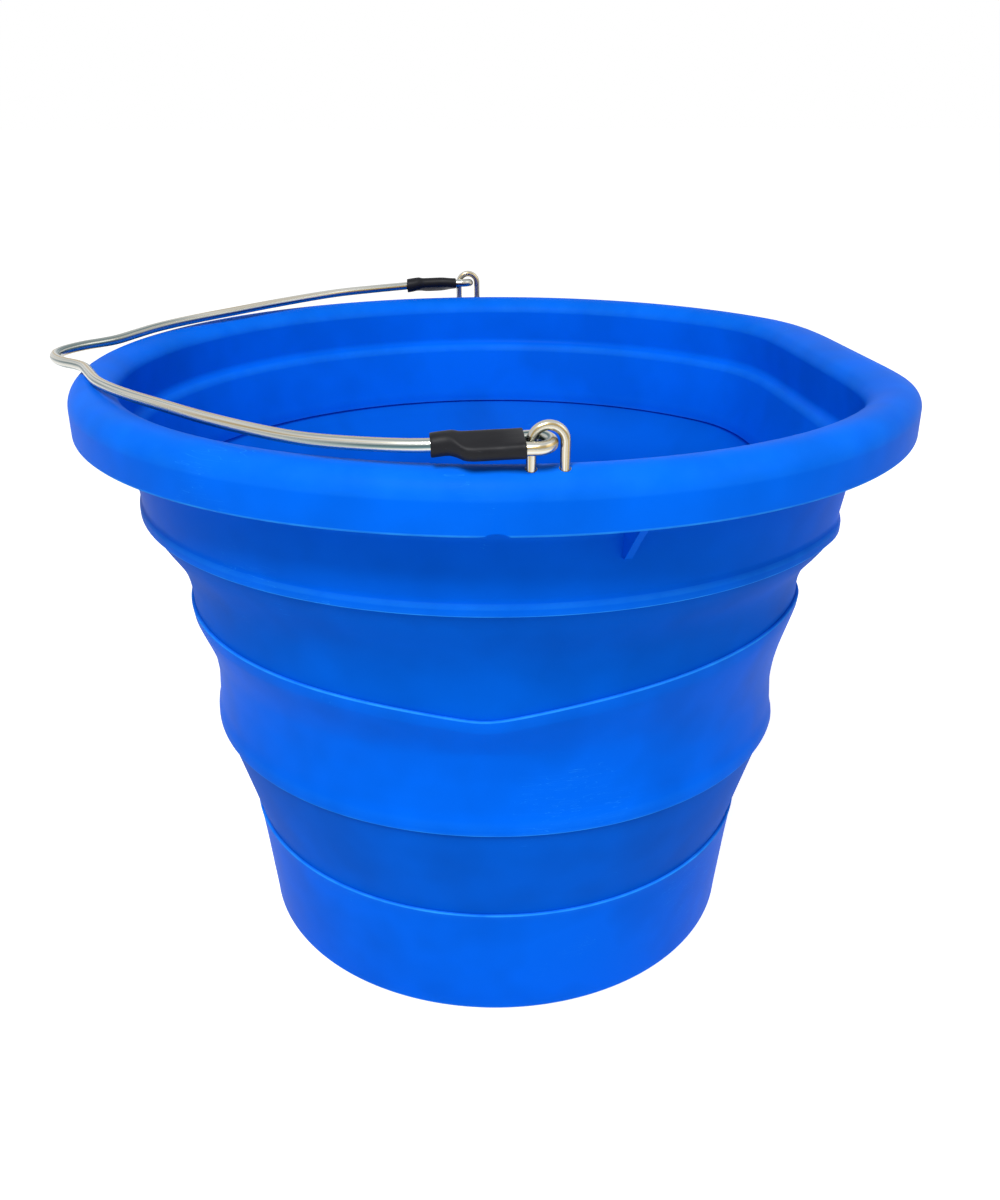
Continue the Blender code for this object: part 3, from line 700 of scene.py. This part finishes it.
def copying_tree():
    tree = bpy.data.node_groups.new("Copies round the axis", "GeometryNodeTree")
    new_socket(tree, "Geometry", "NodeSocketGeometry")
    new_socket(tree, "Copies", "NodeSocketInt", 2)
    new_socket(tree, "First Angle", "NodeSocketFloat", 0.0)
    new_socket(tree, "Angle Between", "NodeSocketFloat", math.pi)
    new_socket(tree, "Material", "NodeSocketMaterial")
    new_socket(tree, "Geometry", "NodeSocketGeometry", output=True)
    given = tree.nodes.new("NodeGroupInput").outputs
    sums = Sums(tree)
    spots = add_node(tree, "GeometryNodePoints", Count=given["Copies"]).outputs[0]
    place = tree.nodes.new("GeometryNodeInputIndex").outputs[0]
    turn = sums("ADD", given["First Angle"], sums("MULTIPLY", place, given["Angle Between"]))
    angles = add_node(tree, "ShaderNodeCombineXYZ", Z=turn).outputs[0]
    copies = add_node(
        tree, "GeometryNodeInstanceOnPoints", Points=spots, Instance=given["Geometry"], Rotation=angles
    ).outputs[0]
    real = add_node(tree, "GeometryNodeRealizeInstances", Geometry=copies).outputs[0]
    painted = add_node(tree, "GeometryNodeSetMaterial", Geometry=real, Material=given["Material"])
    end = tree.nodes.new("NodeGroupOutput")
    tree.links.new(painted.outputs[0], end.inputs["Geometry"])
    return tree


COPYING = copying_tree()
print("the copying tree has", len(COPYING.nodes), "nodes")


# %% Put the two plates under the rim
def new_object(name, data):
    made = bpy.data.objects.new(name, data)
    bpy.context.scene.collection.objects.link(made)
    return made


def mesh_of(name, shape):
    """Keeps a bmesh as a mesh with its faces outward."""
    bmesh.ops.recalc_face_normals(shape, faces=shape.faces)
    data = bpy.data.meshes.new(name)
    shape.to_mesh(data)
    shape.free()
    return data


def plate(name, outline, thickness):
    """A flat plate of a (radius, level) outline, standing on the XZ plane."""
    shape = bmesh.new()
    rows = []
    for offset in (-thickness / 2, thickness / 2):
        rows.append([shape.verts.new((radius, offset, level)) for radius, level in outline])
    shape.faces.new(rows[0])
    shape.faces.new(rows[1])
    for i in range(len(outline)):
        j = (i + 1) % len(outline)
        shape.faces.new((rows[0][i], rows[0][j], rows[1][j], rows[1][i]))
    return mesh_of(name, shape)


def gusset_plates():
    wall = MOUTH_RADIUS + RIM_WALL / 2
    skirt = SKIRT_INSIDE + RIM_WALL / 2
    collar = COLLAR_RADIUS - RIGID_WALL / 2
    skirt_foot = RIM_TOP - SKIRT_HEIGHT
    outline = [
        (collar, MOUTH_FOOT - 0.0110),
        *bow(
            (collar + 0.0025, MOUTH_FOOT - 0.0105),
            (collar + 0.0055, MOUTH_FOOT - 0.0070),
            (skirt - 0.0060, skirt_foot - 0.0020),
            (skirt, skirt_foot + 0.0025),
            8,
        ),
        (skirt, RIM_TOP - RIM_ROUND),
        (CREST_RADIUS, RIM_TOP - RIM_WALL / 2),
        (wall, RIM_TOP - MOUTH_ROUND),
        (wall, MOUTH_FOOT + 0.0030),
        (collar, MOUTH_FOOT - 0.0025),
    ]
    source = new_object("gusset_source", plate("gusset_source", outline, RIB_THICKNESS))
    modifier = source.modifiers.new("Copy", "NODES")
    modifier.node_group = COPYING
    set_inputs(
        modifier, Copies=2, First_Angle=-RIB_ANGLE, Angle_Between=2 * RIB_ANGLE, Material=RIGID
    )
    return plain_mesh(source, "rim_gussets")


gussets = gusset_plates()
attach(gussets, "rim")
print("gussets at", round(math.degrees(RIB_ANGLE), 1), "degrees on both sides")


# %% Cut the leg holes and the nick in the rim
NICK_PLACE = -0.0152
NICK_HALF = (0.0037, RIM_WALL * 1.5, 0.0015)


def rim_cuts():
    shape = bmesh.new()
    radius = STAPLE_WIRE / 2 + GAP
    for side in (-1, 1):
        for leg in (-1, 1):
            spot = Matrix.Translation((leg * STAPLE_ARCH, side * STAPLE_RADIUS, RIM_TOP))
            bmesh.ops.create_cone(
                shape,
                cap_ends=True,
                segments=32,
                radius1=radius,
                radius2=radius,
                depth=2 * RIM_ROUND,
                matrix=spot,
            )
    nick = Matrix.Translation((NICK_PLACE, -RIM_RADIUS, RIM_TOP - SKIRT_HEIGHT))
    bmesh.ops.create_cone(
        shape,
        cap_ends=True,
        segments=32,
        radius1=1.0,
        radius2=1.0,
        depth=2.0,
        matrix=nick @ Matrix.Diagonal((*NICK_HALF, 1.0)) @ Matrix.Rotation(math.pi / 2, 4, "X"),
    )
    return new_object("rim_cuts", mesh_of("rim_cuts", shape))


def cut_away(target, tool):
    """Cuts the tool from the target, keeps the result, and removes the tool."""
    name = target.name
    change = target.modifiers.new("Cut", "BOOLEAN")
    change.operation = "DIFFERENCE"
    change.solver = "EXACT"
    change.object = tool
    before = len(target.data.polygons)
    target.name = name + "_uncut"
    made = plain_mesh(target, name)
    bpy.data.objects.remove(tool, do_unlink=True)
    made.data.set_sharp_from_angle(angle=math.radians(50.0))
    print(name, "had", before, "faces and now has", len(made.data.polygons))
    return made


rim = cut_away(rim, rim_cuts())
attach(rim, "rim")
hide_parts("rim_collar")

# %% [markdown]
# ## Soft fold walls
# Each fold wall is a thin elastomer band moulded between two rings. It bows inward over the ring
# below it and bulges below the ring above. When a ring sinks, the band rolls inside out; here each
# wall keeps its resting shape.


# %% Make the two fold walls
def tongue_radius(outer_radius):
    """Outer radius of the fold wall that sits in the groove of a ring of this radius."""
    return outer_radius - (EDGE_WIDTH - FOLD_WALL) / 2


def fold_wall(name, top, foot, bends):
    """A soft wall between two (outer radius, level) ends. Each bend is an offset from its end."""
    top_bend, foot_bend = [
        (end[0] + bend[0], end[1] + bend[1]) for end, bend in zip((top, foot), bends)
    ]
    outside = bow(top, top_bend, foot_bend, foot, 30)
    inside = [(radius - FOLD_WALL, level) for radius, level in outside]
    outline = [(top[0], top[1] + GROOVE_DEPTH), *outside, (foot[0], foot[1] - GROOVE_DEPTH)]
    outline += [(foot[0] - FOLD_WALL, foot[1] - GROOVE_DEPTH), *reversed(inside)]
    outline.append((top[0] - FOLD_WALL, top[1] + GROOVE_DEPTH))
    return turned(name, outline, SOFT_WITH_PAINTED_SHADE)


LOWER_BENDS = ((-0.0035, -0.0117), (0.0060, 0.0217))
UPPER_BENDS = ((-0.0050, -0.0123), (0.0005, 0.0217))
lower_top = (tongue_radius(MIDDLE_FOOT_RADIUS), MIDDLE_FOOT)
lower_foot = (tongue_radius(CUP_RADIUS), CUP_TOP)
lower_fold = fold_wall("lower_fold_skin", lower_top, lower_foot, LOWER_BENDS)
upper_top = (tongue_radius(COLLAR_FOOT_RADIUS), COLLAR_FOOT)
upper_foot = (tongue_radius(MIDDLE_TOP_RADIUS), MIDDLE_TOP)
upper_fold = fold_wall("upper_fold_skin", upper_top, upper_foot, UPPER_BENDS)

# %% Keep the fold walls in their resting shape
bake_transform(lower_fold)
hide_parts("lower_fold_wall")
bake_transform(upper_fold)
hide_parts("upper_fold_wall")
print("fold walls blended over", round(COLLAR_FOOT - MIDDLE_TOP, 4), round(MIDDLE_FOOT - CUP_TOP, 4))

# %% [markdown]
# ## Wire parts
# The bail and the staples are bent from round plated wire. Each is one path with a round section
# swept along it. The tree stores how far along and how far round each point lies, and the steel's
# drawing marks follow those two values.


# %% Build the wire tree
def wire_tree():
    tree = bpy.data.node_groups.new("Wire along a path", "GeometryNodeTree")
    new_socket(tree, "Geometry", "NodeSocketGeometry")
    new_socket(tree, "Thickness", "NodeSocketFloat", 0.004)
    new_socket(tree, "Sides", "NodeSocketInt", 20)
    new_socket(tree, "Material", "NodeSocketMaterial")
    new_socket(tree, "Geometry", "NodeSocketGeometry", output=True)
    given = tree.nodes.new("NodeGroupInput").outputs
    sums = Sums(tree)

    def marked(curve, name, reading):
        """Stores a reading of the spline on its points."""
        spline = tree.nodes.new("GeometryNodeSplineParameter")
        store = add_node(
            tree,
            "GeometryNodeStoreNamedAttribute",
            {"data_type": "FLOAT", "domain": "POINT"},
            Geometry=curve,
            Name=name,
        )
        tree.links.new(spline.outputs[reading], store.inputs["Value"])
        return store.outputs[0]

    path = add_node(tree, "GeometryNodeMeshToCurve", Mesh=given["Geometry"]).outputs[0]
    radius = sums("MULTIPLY", given["Thickness"], 0.5)
    section = add_node(
        tree, "GeometryNodeCurvePrimitiveCircle", Resolution=given["Sides"], Radius=radius
    ).outputs["Curve"]
    sweep = tree.nodes.new("GeometryNodeCurveToMesh")
    tree.links.new(marked(path, "along", "Length"), sweep.inputs["Curve"])
    tree.links.new(marked(section, "around", "Factor"), sweep.inputs["Profile Curve"])
    sweep.inputs["Fill Caps"].default_value = True
    shaded = add_node(tree, "GeometryNodeSetShadeSmooth", Geometry=sweep.outputs[0]).outputs[0]
    real = add_node(tree, "GeometryNodeRealizeInstances", Geometry=shaded).outputs[0]
    painted = add_node(tree, "GeometryNodeSetMaterial", Geometry=real, Material=given["Material"])
    end = tree.nodes.new("NodeGroupOutput")
    tree.links.new(painted.outputs[0], end.inputs["Geometry"])
    return tree


WIRE = wire_tree()
print("the wire tree has", len(WIRE.nodes), "nodes")

# %% [markdown]
# ## Plated steel
# Drawn wire keeps faint lines along its length, and its thin plating shows straw and blue-grey
# tints, the blue-grey one dark enough to be a painted dark reflection too. The lines are noise on the
# stored length and turn, stretched along the wire.


# %% Make the plated steel
def plated_steel():
    made = bpy.data.materials.new("plated_steel")
    made.use_nodes = True
    tree = made.node_tree
    shader = tree.nodes["Principled BSDF"]
    sums = Sums(tree)
    along = tree.nodes.new("ShaderNodeAttribute")
    along.attribute_name = "along"
    around = tree.nodes.new("ShaderNodeAttribute")
    around.attribute_name = "around"
    turn = sums("MULTIPLY", around.outputs["Fac"], 2 * math.pi)
    place = add_node(
        tree,
        "ShaderNodeCombineXYZ",
        X=sums("COSINE", turn),
        Y=sums("SINE", turn),
        Z=sums("MULTIPLY", along.outputs["Fac"], 4.0),
    ).outputs[0]
    lines = add_node(tree, "ShaderNodeTexNoise", Vector=place, Scale=5.0, Detail=4.0, Roughness=0.6)
    broad = add_node(tree, "ShaderNodeTexNoise", Vector=place, Scale=1.3, Detail=2.0)
    plating_tint_and_reflection = tree.nodes.new("ShaderNodeValToRGB")
    ramp = plating_tint_and_reflection.color_ramp
    # The dark blue-grey end is partly plating tint and partly a painted dark reflection; the straw end
    # is the plating's own tint.
    ramp.elements[0].position = 0.36
    ramp.elements[0].color = (0.09, 0.15, 0.16, 1.0)
    ramp.elements[1].position = 0.64
    ramp.elements[1].color = (0.40, 0.30, 0.14, 1.0)
    middle = ramp.elements.new(0.5)
    middle.color = (0.58, 0.58, 0.54, 1.0)
    tree.links.new(broad.outputs["Fac"], plating_tint_and_reflection.inputs["Fac"])
    tree.links.new(plating_tint_and_reflection.outputs["Color"], shader.inputs["Base Color"])
    rough = sums("ADD", sums("MULTIPLY", lines.outputs["Fac"], 0.22), 0.14)
    tree.links.new(rough, shader.inputs["Roughness"])
    bump = add_node(tree, "ShaderNodeBump", Strength=0.35, Distance=0.00008)
    tree.links.new(lines.outputs["Fac"], bump.inputs["Height"])
    tree.links.new(bump.outputs[0], shader.inputs["Normal"])
    shader.inputs["Metallic"].default_value = 1.0
    return made


STEEL = plated_steel()
print("wire finish:", STEEL.name)

# %% [markdown]
# ## Staples
# Each staple is a round arch on two legs. The legs pass down through the rim and turn out under it,
# as a wire that is pushed through and clinched.


# %% Bend the two staples
def wire_piece(name, points, thickness, sides=24):
    data = bpy.data.meshes.new(name + "_path")
    data.from_pydata(points, [(i, i + 1) for i in range(len(points) - 1)], [])
    source = new_object(name + "_path", data)
    modifier = source.modifiers.new("Wire", "NODES")
    modifier.node_group = WIRE
    set_inputs(modifier, Thickness=thickness, Sides=sides, Material=STEEL)
    made = plain_mesh(source, name)
    made.data.set_sharp_from_angle(angle=math.radians(50.0))
    return made


STAPLE_FOOT = 0.0060
STAPLE_BEND = 0.0025
STAPLE_UNDER = 0.0012


def staple(name, side):
    spread = STAPLE_RADIUS - CREST_RADIUS
    under_land = RIM_TOP - RIM_ROUND + math.sqrt((RIM_ROUND - RIM_WALL) ** 2 - spread ** 2)
    foot_level = under_land - GAP - STAPLE_UNDER - STAPLE_WIRE / 2
    bend = (-STAPLE_ARCH - STAPLE_BEND, foot_level + STAPLE_BEND)
    half = [(bend[0] - STAPLE_FOOT + STAPLE_BEND, foot_level)]
    half += arc(bend, STAPLE_BEND, STAPLE_BEND, -90, 0, 10)
    half += arc((0.0, PIVOT_LEVEL), STAPLE_ARCH, STAPLE_ARCH, 180, 90, 16)
    outline = half + [(-x, level) for x, level in reversed(half[:-1])]
    points = [(x, side * STAPLE_RADIUS, level) for x, level in outline]
    return wire_piece(name, points, STAPLE_WIRE)


for name, side in (("right_staple", -1), ("left_staple", 1)):
    arch = staple(name + "_wire", side)
    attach(arch, "rim")
    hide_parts(name)
    print(arch.name, "stands at y", round(side * STAPLE_RADIUS, 4))

# %% [markdown]
# ## Bail
# The bail is one wire. Each end makes an eye round the staple's arch and turns back beside the arm,
# under the sleeve. The arms run in a long bow to the hook notch. The route's points are listed, and a
# smooth curve goes through them.

# %% Give the bail's route
BAIL_WIRE = 0.0041
EYE_OFFSET = 0.0042
EYE_APEX = 0.0008
EYE_LIFT = 0.0006
MOUTH_OFFSET = 0.0038
PAIR_OFFSET = 0.00195
PAIR_LIFT = 0.00103
RETURN_END = 0.0230
CREST_REACH = 0.1590
BAIL_STEP = 0.0020
NOTCH_TIP = 0.1810
NOTCH_LEAN = 0.0110
SLEEVE_START = 0.0068
SLEEVE_END = 0.0334
REST_TILT = math.asin((PIVOT_LEVEL - RIM_TOP - GAP - BAIL_WIRE / 2) / CREST_REACH)
ARM_SHAPE = (
    (0.0490, 0.1565),
    (0.0680, 0.1480),
    (0.0840, 0.1355),
    (0.1030, 0.1165),
    (0.1200, 0.0970),
    (0.1330, 0.0820),
    (0.1430, 0.0690),
    (0.1510, 0.0560),
    (0.1570, 0.0420),
    (0.1620, 0.0300),
    (0.1670, 0.0235),
    (0.1725, 0.0185),
    (0.1770, 0.0125),
    (0.1800, 0.0060),
)
print("the bail leans down by", round(math.degrees(REST_TILT), 2), "degrees at rest")


# %% Read the route as a smooth curve and bend the bail
def through(points, step):
    """Points a step apart on a smooth curve through given ones."""
    found = []
    rows = [2 * points[0] - points[1], *points, 2 * points[-1] - points[-2]]
    for before, start, end, after in zip(rows, rows[1:], rows[2:], rows[3:]):
        count = max(1, round((end - start).length / step))
        for i in range(count):
            t = i / count
            bend = 2 * before - 5 * start + 4 * end - after
            lean = 3 * start - before - 3 * end + after
            found.append(0.5 * (2 * start + (end - before) * t + bend * t * t + lean * t ** 3))
    return [*found, points[-1]]


def in_bail(reach, across, lift):
    """A place on the resting bail: reach from the pivot line, across along it, lift off its plane."""
    x = -reach * math.cos(REST_TILT) - lift * math.sin(REST_TILT)
    z = -reach * math.sin(REST_TILT) + lift * math.cos(REST_TILT)
    return Vector((x, across + NOTCH_LEAN * (reach / NOTCH_TIP) ** 2, PIVOT_LEVEL + z))


def main_run(side):
    """The bail's wire from its eye through the sleeve, as (reach, across, lift) places."""
    return [
        Vector((SLEEVE_START, side * (STAPLE_RADIUS - MOUTH_OFFSET), EYE_LIFT)),
        Vector((0.0150, side * (STAPLE_RADIUS - PAIR_OFFSET), PAIR_LIFT)),
        Vector((RETURN_END, side * (STAPLE_RADIUS - PAIR_OFFSET), PAIR_LIFT)),
        Vector((SLEEVE_END, side * (STAPLE_RADIUS - PAIR_OFFSET - 0.0005), 0.0002)),
    ]


def return_run(side):
    """The wire's end from the eye into the sleeve."""
    return [
        Vector((SLEEVE_START, side * (STAPLE_RADIUS + MOUTH_OFFSET), -EYE_LIFT)),
        Vector((0.0150, side * (STAPLE_RADIUS + PAIR_OFFSET), -PAIR_LIFT)),
        Vector((RETURN_END, side * (STAPLE_RADIUS + PAIR_OFFSET), -PAIR_LIFT)),
    ]


def eye_turn(side):
    """The half turn of an eye, from the return run's side to the main run's side."""
    centre = EYE_OFFSET - EYE_APEX
    points = []
    steps = 20
    for i in range(steps + 1):
        turn = math.pi * i / steps
        across = STAPLE_RADIUS + EYE_OFFSET * math.cos(turn)
        reach = centre - EYE_OFFSET * math.sin(turn)
        points.append(Vector((reach, side * across, -EYE_LIFT * math.cos(turn))))
    return points


def bail_route():
    arm = [Vector((reach, -across, 0.0)) for reach, across in ARM_SHAPE]
    half = through(return_run(-1)[::-1], BAIL_STEP) + eye_turn(-1)
    half += through(main_run(-1) + arm + [Vector((NOTCH_TIP, 0.0, 0.0))], BAIL_STEP)
    places = half + [Vector((p.x, -p.y, p.z)) for p in reversed(half[:-1])]
    return [in_bail(*place) for place in places]


bail = wire_piece("bail_arm_wire", bail_route(), BAIL_WIRE)
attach(bail, "bail")
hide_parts("bail_wire")
print("bail has", len(bail.data.polygons), "faces")

# %% [markdown]
# ## Shrunk sleeves
# A black tube is shrunk over each eye's wire pair, and its loose end stays round over the single
# wire. Its section is a stadium round the two wires, a little drawn in between them, and it
# narrows to a circle. A loft of such rings is the plainest way to make it, and Solidify gives it
# its wall.

# %% Make the black sleeve finish
def shrink_sleeve():
    made = bpy.data.materials.new("shrink_sleeve")
    made.use_nodes = True
    tree = made.node_tree
    shader = tree.nodes["Principled BSDF"]
    sums = Sums(tree)
    creases = object_noise(tree, 260.0, 3.0, 0.6, (0.35, 1.0, 1.0))
    grain = object_noise(tree, 1500.0, 2.0)
    marks = tree.nodes.new("ShaderNodeGroup")
    marks.node_tree = MARKS_AND_EDGE_HIGHLIGHT
    marks.inputs["Scratch Amount"].default_value = 0.8
    worn = sums("MINIMUM", sums("ADD", sums("MULTIPLY", creases, 0.5), marks.outputs["Scratches"]), 1.0)
    tone = colour_mix(tree, worn, (0.006, 0.006, 0.008), (0.022, 0.023, 0.027))
    tree.links.new(tone, shader.inputs["Base Color"])
    tree.links.new(sums("ADD", sums("MULTIPLY", creases, 0.25), 0.34), shader.inputs["Roughness"])
    shader.inputs["Specular IOR Level"].default_value = 0.14
    bump = add_node(tree, "ShaderNodeBump", Strength=0.4, Distance=0.0002)
    tree.links.new(sums("ADD", creases, sums("MULTIPLY", grain, 0.2)), bump.inputs["Height"])
    tree.links.new(bump.outputs[0], shader.inputs["Normal"])
    return made


BLACK = shrink_sleeve()
print("sleeve finish:", BLACK.name)

# %% Loft the two sleeves
SLEEVE_WALL = 0.00055
SLEEVE_LOOSE_WALL = 0.00125
SLEEVE_SQUARENESS = 4.0
SLEEVE_DRAW = 0.10
RING_SIDES = 40


def sleeve_ring(side, reach, first, second, radius):
    """Section round two wires side by side, drawn in a little between them."""
    middle = (first + second) / 2
    apart = (first - second) / 2
    along = apart.normalized() if apart.length > 1e-6 else Vector((-side, 0.0))
    over = Vector((-along.y, along.x))
    ring = []
    for i in range(RING_SIDES):
        turn = 2 * math.pi * i / RING_SIDES
        shift = apart.length * math.tanh(SLEEVE_SQUARENESS * math.cos(turn))
        waist = 1.0 - SLEEVE_DRAW * min(1.0, apart.length / radius) * math.sin(turn) ** 8
        rise = radius * waist * math.sin(turn)
        spot = middle + along * (shift + radius * math.cos(turn)) + over * rise
        ring.append(in_bail(reach, spot.x, spot.y))
    return ring


def sleeve_stations(side):
    """Rings from the eye's end to the loose end, as (reach, first wire, second wire, radius)."""
    snug = BAIL_WIRE / 2 + GAP + SLEEVE_WALL
    loose = BAIL_WIRE / 2 + GAP + SLEEVE_LOOSE_WALL
    mouth, start, step, end = [Vector(p.yz) for p in main_run(side)]
    other_mouth, other_start, other_step = [Vector(p.yz) for p in return_run(side)]
    step_reach = RETURN_END + GAP + SLEEVE_WALL
    return [
        (SLEEVE_START, mouth, other_mouth, snug),
        (SLEEVE_START + 0.0004, mouth, other_mouth, snug + 0.0001),
        (0.0090, mouth.lerp(start, 0.30), other_mouth.lerp(other_start, 0.30), snug),
        (0.0110, mouth.lerp(start, 0.55), other_mouth.lerp(other_start, 0.55), snug),
        (0.0130, mouth.lerp(start, 0.85), other_mouth.lerp(other_start, 0.85), snug),
        (0.0150, start, other_start, snug),
        (0.0190, start, other_start, snug),
        (step_reach, step, other_step, snug),
        (step_reach + 0.0014, step, other_step.lerp(step, 0.35), snug),
        (step_reach + 0.0032, step, other_step.lerp(step, 0.80), loose),
        (step_reach + 0.0050, step.lerp(end, 0.4), step.lerp(end, 0.4), loose),
        (SLEEVE_END - 0.0005, end, end, loose),
        (SLEEVE_END, end, end, loose - 0.0001),
    ]


def sleeve(name, side):
    shape = bmesh.new()
    rows = []
    for reach, first, second, radius in sleeve_stations(side):
        rows.append([shape.verts.new(spot) for spot in sleeve_ring(side, reach, first, second, radius)])
    for low, high in zip(rows, rows[1:]):
        for i in range(RING_SIDES):
            j = (i + 1) % RING_SIDES
            shape.faces.new((low[i], low[j], high[j], high[i]))
    tube = new_object(name + "_loft", mesh_of(name, shape))
    wall = tube.modifiers.new("Wall", "SOLIDIFY")
    wall.thickness = SLEEVE_WALL - 0.0001
    wall.offset = -1.0
    ease = tube.modifiers.new("Ease", "SUBSURF")
    ease.levels = 1
    ease.render_levels = 1
    made = plain_mesh(tube, name)
    made.data.materials.append(BLACK)
    made.data.shade_smooth()
    return made


for name, side in (("right_sleeve", -1), ("left_sleeve", 1)):
    tube = sleeve(name + "_skin", side)
    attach(tube, "bail")
    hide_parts(name)
    print(tube.name, len(tube.data.polygons), "faces")

# %% [markdown]
# ## Floor, light and camera
# The bucket stands on a plain pale floor in soft light. The floor and the world look white to the
# camera, and mirror-like pieces see the same white, while the light on the object stays plain.


# %% Make the floor
FLOOR_GLOW = 0.78
FLOOR_HALF = 30.0
FLOOR_LEVEL = -0.0003


def pale_floor():
    made = bpy.data.materials.new("pale_floor")
    made.use_nodes = True
    tree = made.node_tree
    shader = tree.nodes["Principled BSDF"]
    path = tree.nodes.new("ShaderNodeLightPath")
    sums = Sums(tree)
    seen = sums("MAXIMUM", path.outputs["Is Camera Ray"], path.outputs["Is Glossy Ray"])
    seen = sums("MAXIMUM", seen, path.outputs["Is Transmission Ray"])
    shader.inputs["Base Color"].default_value = (0.80, 0.80, 0.80, 1.0)
    shader.inputs["Roughness"].default_value = 0.9
    shader.inputs["Specular IOR Level"].default_value = 0.0
    shader.inputs["Emission Color"].default_value = (1.0, 1.0, 1.0, 1.0)
    tree.links.new(sums("MULTIPLY", seen, FLOOR_GLOW), shader.inputs["Emission Strength"])
    return made


def square(name, half, level):
    shape = bmesh.new()
    bmesh.ops.create_grid(shape, x_segments=1, y_segments=1, size=half)
    bmesh.ops.translate(shape, verts=shape.verts, vec=(0.0, 0.0, level))
    data = bpy.data.meshes.new(name)
    shape.to_mesh(data)
    shape.free()
    return new_object(name, data)


floor = square("floor", FLOOR_HALF, FLOOR_LEVEL)
floor.data.materials.append(pale_floor())
print("floor level", FLOOR_LEVEL)


# %% Light the scene
AMBIENT = 0.30
LIT_SPOT = (0.0, 0.0, 0.12)
LAMPS = (
    ("key_lamp", (-0.4, -1.15, 1.6), 0.6, 29.0),
    ("fill_lamp", (1.4, -0.6, 1.2), 1.2, 5.0),
)


def white_world():
    world = bpy.context.scene.world or bpy.data.worlds.new("World")
    bpy.context.scene.world = world
    world.use_nodes = True
    tree = world.node_tree
    sky = tree.nodes["Background"]
    path = tree.nodes.new("ShaderNodeLightPath")
    sums = Sums(tree)
    seen = sums("MAXIMUM", path.outputs["Is Camera Ray"], path.outputs["Is Transmission Ray"])
    seen = sums("MAXIMUM", seen, path.outputs["Is Glossy Ray"])
    level = sums("ADD", AMBIENT, sums("MULTIPLY", seen, 1 - AMBIENT))
    sky.inputs["Color"].default_value = (1.0, 1.0, 1.0, 1.0)
    tree.links.new(level, sky.inputs["Strength"])


def soft_lamp(name, place, size, power):
    data = bpy.data.lights.new(name, "AREA")
    data.shape = "DISK"
    data.size = size
    data.energy = power
    lamp = new_object(name, data)
    lamp.location = place
    lamp.rotation_euler = (Vector(LIT_SPOT) - Vector(place)).to_track_quat("-Z", "Y").to_euler()


white_world()
for lamp in LAMPS:
    soft_lamp(*lamp)
print("lamps:", len(LAMPS))

# %% Place the camera
CAMERA_PLACE = Vector((-0.0430, -0.4670, 0.3440))
CAMERA_HEADING = math.radians(84.5)
CAMERA_DROP = math.radians(23.5)
SENSOR = 36.0
FOCAL_LENGTH = 33.45
NEAREST_SEEN = 0.01
lens = bpy.data.cameras.new("camera")
lens.sensor_width = SENSOR
lens.lens = FOCAL_LENGTH
lens.clip_start = NEAREST_SEEN
camera = new_object("camera", lens)
aim = Vector(
    (
        math.cos(CAMERA_DROP) * math.cos(CAMERA_HEADING),
        math.cos(CAMERA_DROP) * math.sin(CAMERA_HEADING),
        -math.sin(CAMERA_DROP),
    )
)
camera.location = CAMERA_PLACE
camera.rotation_euler = aim.to_track_quat("-Z", "Y").to_euler()
bpy.context.scene.camera = camera
bpy.context.scene.view_settings.view_transform = "Standard"
print("camera stands", round(CAMERA_PLACE.length, 3), "m from the bucket's foot")
